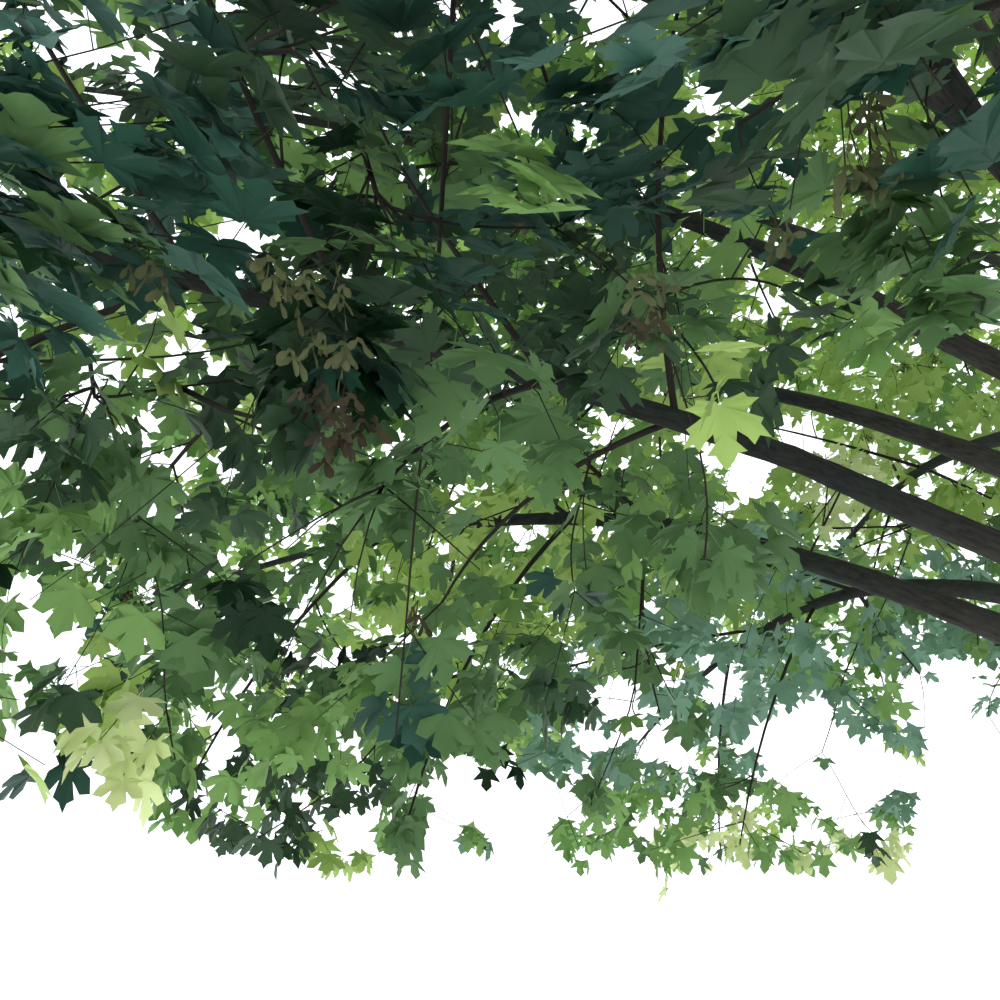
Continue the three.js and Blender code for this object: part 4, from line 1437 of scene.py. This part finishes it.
class TREE_OT_twigs(Operator):
    """Adds the twigs and shoots that carry the leaves"""

    bl_idname = "maple.twigs"
    bl_label = "Twigs"

    def execute(self, context):
        material = plain_finish("twig_bark", chosen_colour(context, "twig"), 0.75, 0.3)
        masses = grown(sizes_of(context))
        twigs, side_twigs, side_girths, shoots, shoot_girths = (
            np.concatenate([mass[name] for mass in masses])
            for name in ("twigs", "side_twigs", "side_girths", "shoots", "shoot_girths")
        )
        girths = np.broadcast_to(np.linspace(*TWIG_RADII, TWIG_STEPS), twigs.shape[:2])
        wood = together(tubes(twigs, girths, TWIG_SIDES), tubes(side_twigs, side_girths, SIDE_TWIG_SIDES))
        add_piece("twigs", wood, material, foliage_nodes())
        add_piece("shoots", tubes(shoots, shoot_girths, SHOOT_SIDES), material, foliage_nodes())
        return {"FINISHED"}


class TREE_OT_leaves(Operator):
    """Adds the leaves, each green in pieces of its own; the greens are painted light and shade"""

    bl_idname = "maple.leaves"
    bl_label = "Leaves"

    def execute(self, context):
        leaves = all_leaves(sizes_of(context))
        off = np.linalg.norm(leaves["root"] - EYE, axis=1)
        near, far = off < NEAR_LEAVES, off > FAR_LEAVES
        cuts = ((near, NEAR_LEAF), (~near & ~far, PLAIN_LEAF), (far, FAR_LEAF))
        for index, tint in enumerate(TINTS):
            material = plain_finish(f"leaf_{tint}", chosen_colour(context, tint), 0.5)
            mine = leaves["tint"] == index
            if not mine.any():
                continue
            parts = [
                blades({name: rows[mine & some] for name, rows in leaves.items()}, outline)
                for some, outline in cuts if (mine & some).any()
            ]
            stalked = mine & ~far
            parts.append(ribbons(leaves["node"][stalked], leaves["root"][stalked], LEAF_STALK))
            add_piece(f"leaves_{tint}", together(*parts), material, foliage_nodes())
        return {"FINISHED"}


class TREE_OT_seeds(Operator):
    """Adds the hanging bunches of winged seeds, green and dry"""

    bl_idname = "maple.seeds"
    bl_label = "Seeds"

    def execute(self, context):
        wings, dry = seed_rows(sizes_of(context))
        for name, tint, mine in (("seeds_green", "key", ~dry), ("seeds_dry", "dry", dry)):
            material = plain_finish(name, chosen_colour(context, tint), 0.6)
            some = {key: rows[mine] for key, rows in wings.items()}
            shape = together(blades(some, WING), ribbons(some["node"], some["root"], SEED_STALK))
            add_piece(name, shape, material, foliage_nodes())
        return {"FINISHED"}


class TREE_OT_stage(Operator):
    """Adds the floor, the light and the camera"""

    bl_idname = "maple.stage"
    bl_label = "Floor, light and camera"

    def execute(self, context):
        scene = context.scene
        angle = np.arange(FLOOR_SIDES) * 2 * np.pi / FLOOR_SIDES
        rim = [np.cos(angle) * FLOOR_RADIUS, np.sin(angle) * FLOOR_RADIUS, np.zeros(FLOOR_SIDES)]
        corners = np.stack(rim, axis=1)
        mesh = bpy.data.meshes.new("floor")
        mesh.from_pydata(corners.tolist(), [], [list(range(FLOOR_SIDES))])
        mesh.materials.append(plain_finish("floor", FLOOR_COLOUR, 0.9))
        floor = bpy.data.objects.new("floor", mesh)
        scene.collection.objects.link(floor)

        world = bpy.data.worlds.new("studio")
        world.use_nodes = True
        sky = world.node_tree.nodes["Background"]
        sky.inputs["Color"].default_value = SKY_COLOUR
        sky.inputs["Strength"].default_value = SKY_STRENGTH
        scene.world = world
        scene.view_settings.view_transform = "Standard"

        light = bpy.data.lights.new("sun", "SUN")
        light.energy = LIGHT_STRENGTH
        light.angle = math.radians(LIGHT_WIDTH)
        light.color = LIGHT_COLOUR
        lamp = bpy.data.objects.new("sun", light)
        lamp.rotation_euler = [math.radians(turn) for turn in LIGHT_TURNS]
        scene.collection.objects.link(lamp)

        camera = bpy.data.cameras.new("camera")
        camera.sensor_width = SENSOR_WIDTH
        camera.lens = SENSOR_WIDTH / 2 / math.tan(math.radians(FIELD / 2))
        camera.clip_start = NEAREST_SEEN
        holder = bpy.data.objects.new("camera", camera)
        holder.location = EYE
        holder.rotation_euler = (math.radians(90 + LOOK_UP), 0, -math.radians(LOOK_TURN))
        scene.collection.objects.link(holder)
        scene.camera = holder
        return {"FINISHED"}


class TREE_PT_panel(Panel):
    """Lists the tree's sizes, colours and pieces"""

    bl_idname = "TREE_PT_panel"
    bl_label = "Maple tree"
    bl_space_type = "VIEW_3D"
    bl_region_type = "UI"
    bl_category = "Maple tree"

    def draw(self, context):
        for group in (context.scene.maple_sizes, context.scene.maple_colours):
            for name in group.__annotations__:
                self.layout.prop(group, name)
        for operator in OPERATORS:
            self.layout.operator(operator.bl_idname)


GROUPS = (TreeSizes, TreeColours)
OPERATORS = (TREE_OT_trunk, TREE_OT_limbs, TREE_OT_twigs, TREE_OT_leaves, TREE_OT_seeds, TREE_OT_stage)


def register():
    for part in (*GROUPS, *OPERATORS, TREE_PT_panel):
        bpy.utils.register_class(part)
    bpy.types.Scene.maple_sizes = PointerProperty(type=TreeSizes)
    bpy.types.Scene.maple_colours = PointerProperty(type=TreeColours)


def unregister():
    del bpy.types.Scene.maple_colours
    del bpy.types.Scene.maple_sizes
    for part in (TREE_PT_panel, *reversed(OPERATORS), *reversed(GROUPS)):
        bpy.utils.unregister_class(part)


def main():
    register()
    bpy.ops.maple.trunk()
    bpy.ops.maple.limbs()
    bpy.ops.maple.twigs()
    bpy.ops.maple.leaves()
    bpy.ops.maple.seeds()
    bpy.ops.maple.stage()


if __name__ == "__main__":
    main()
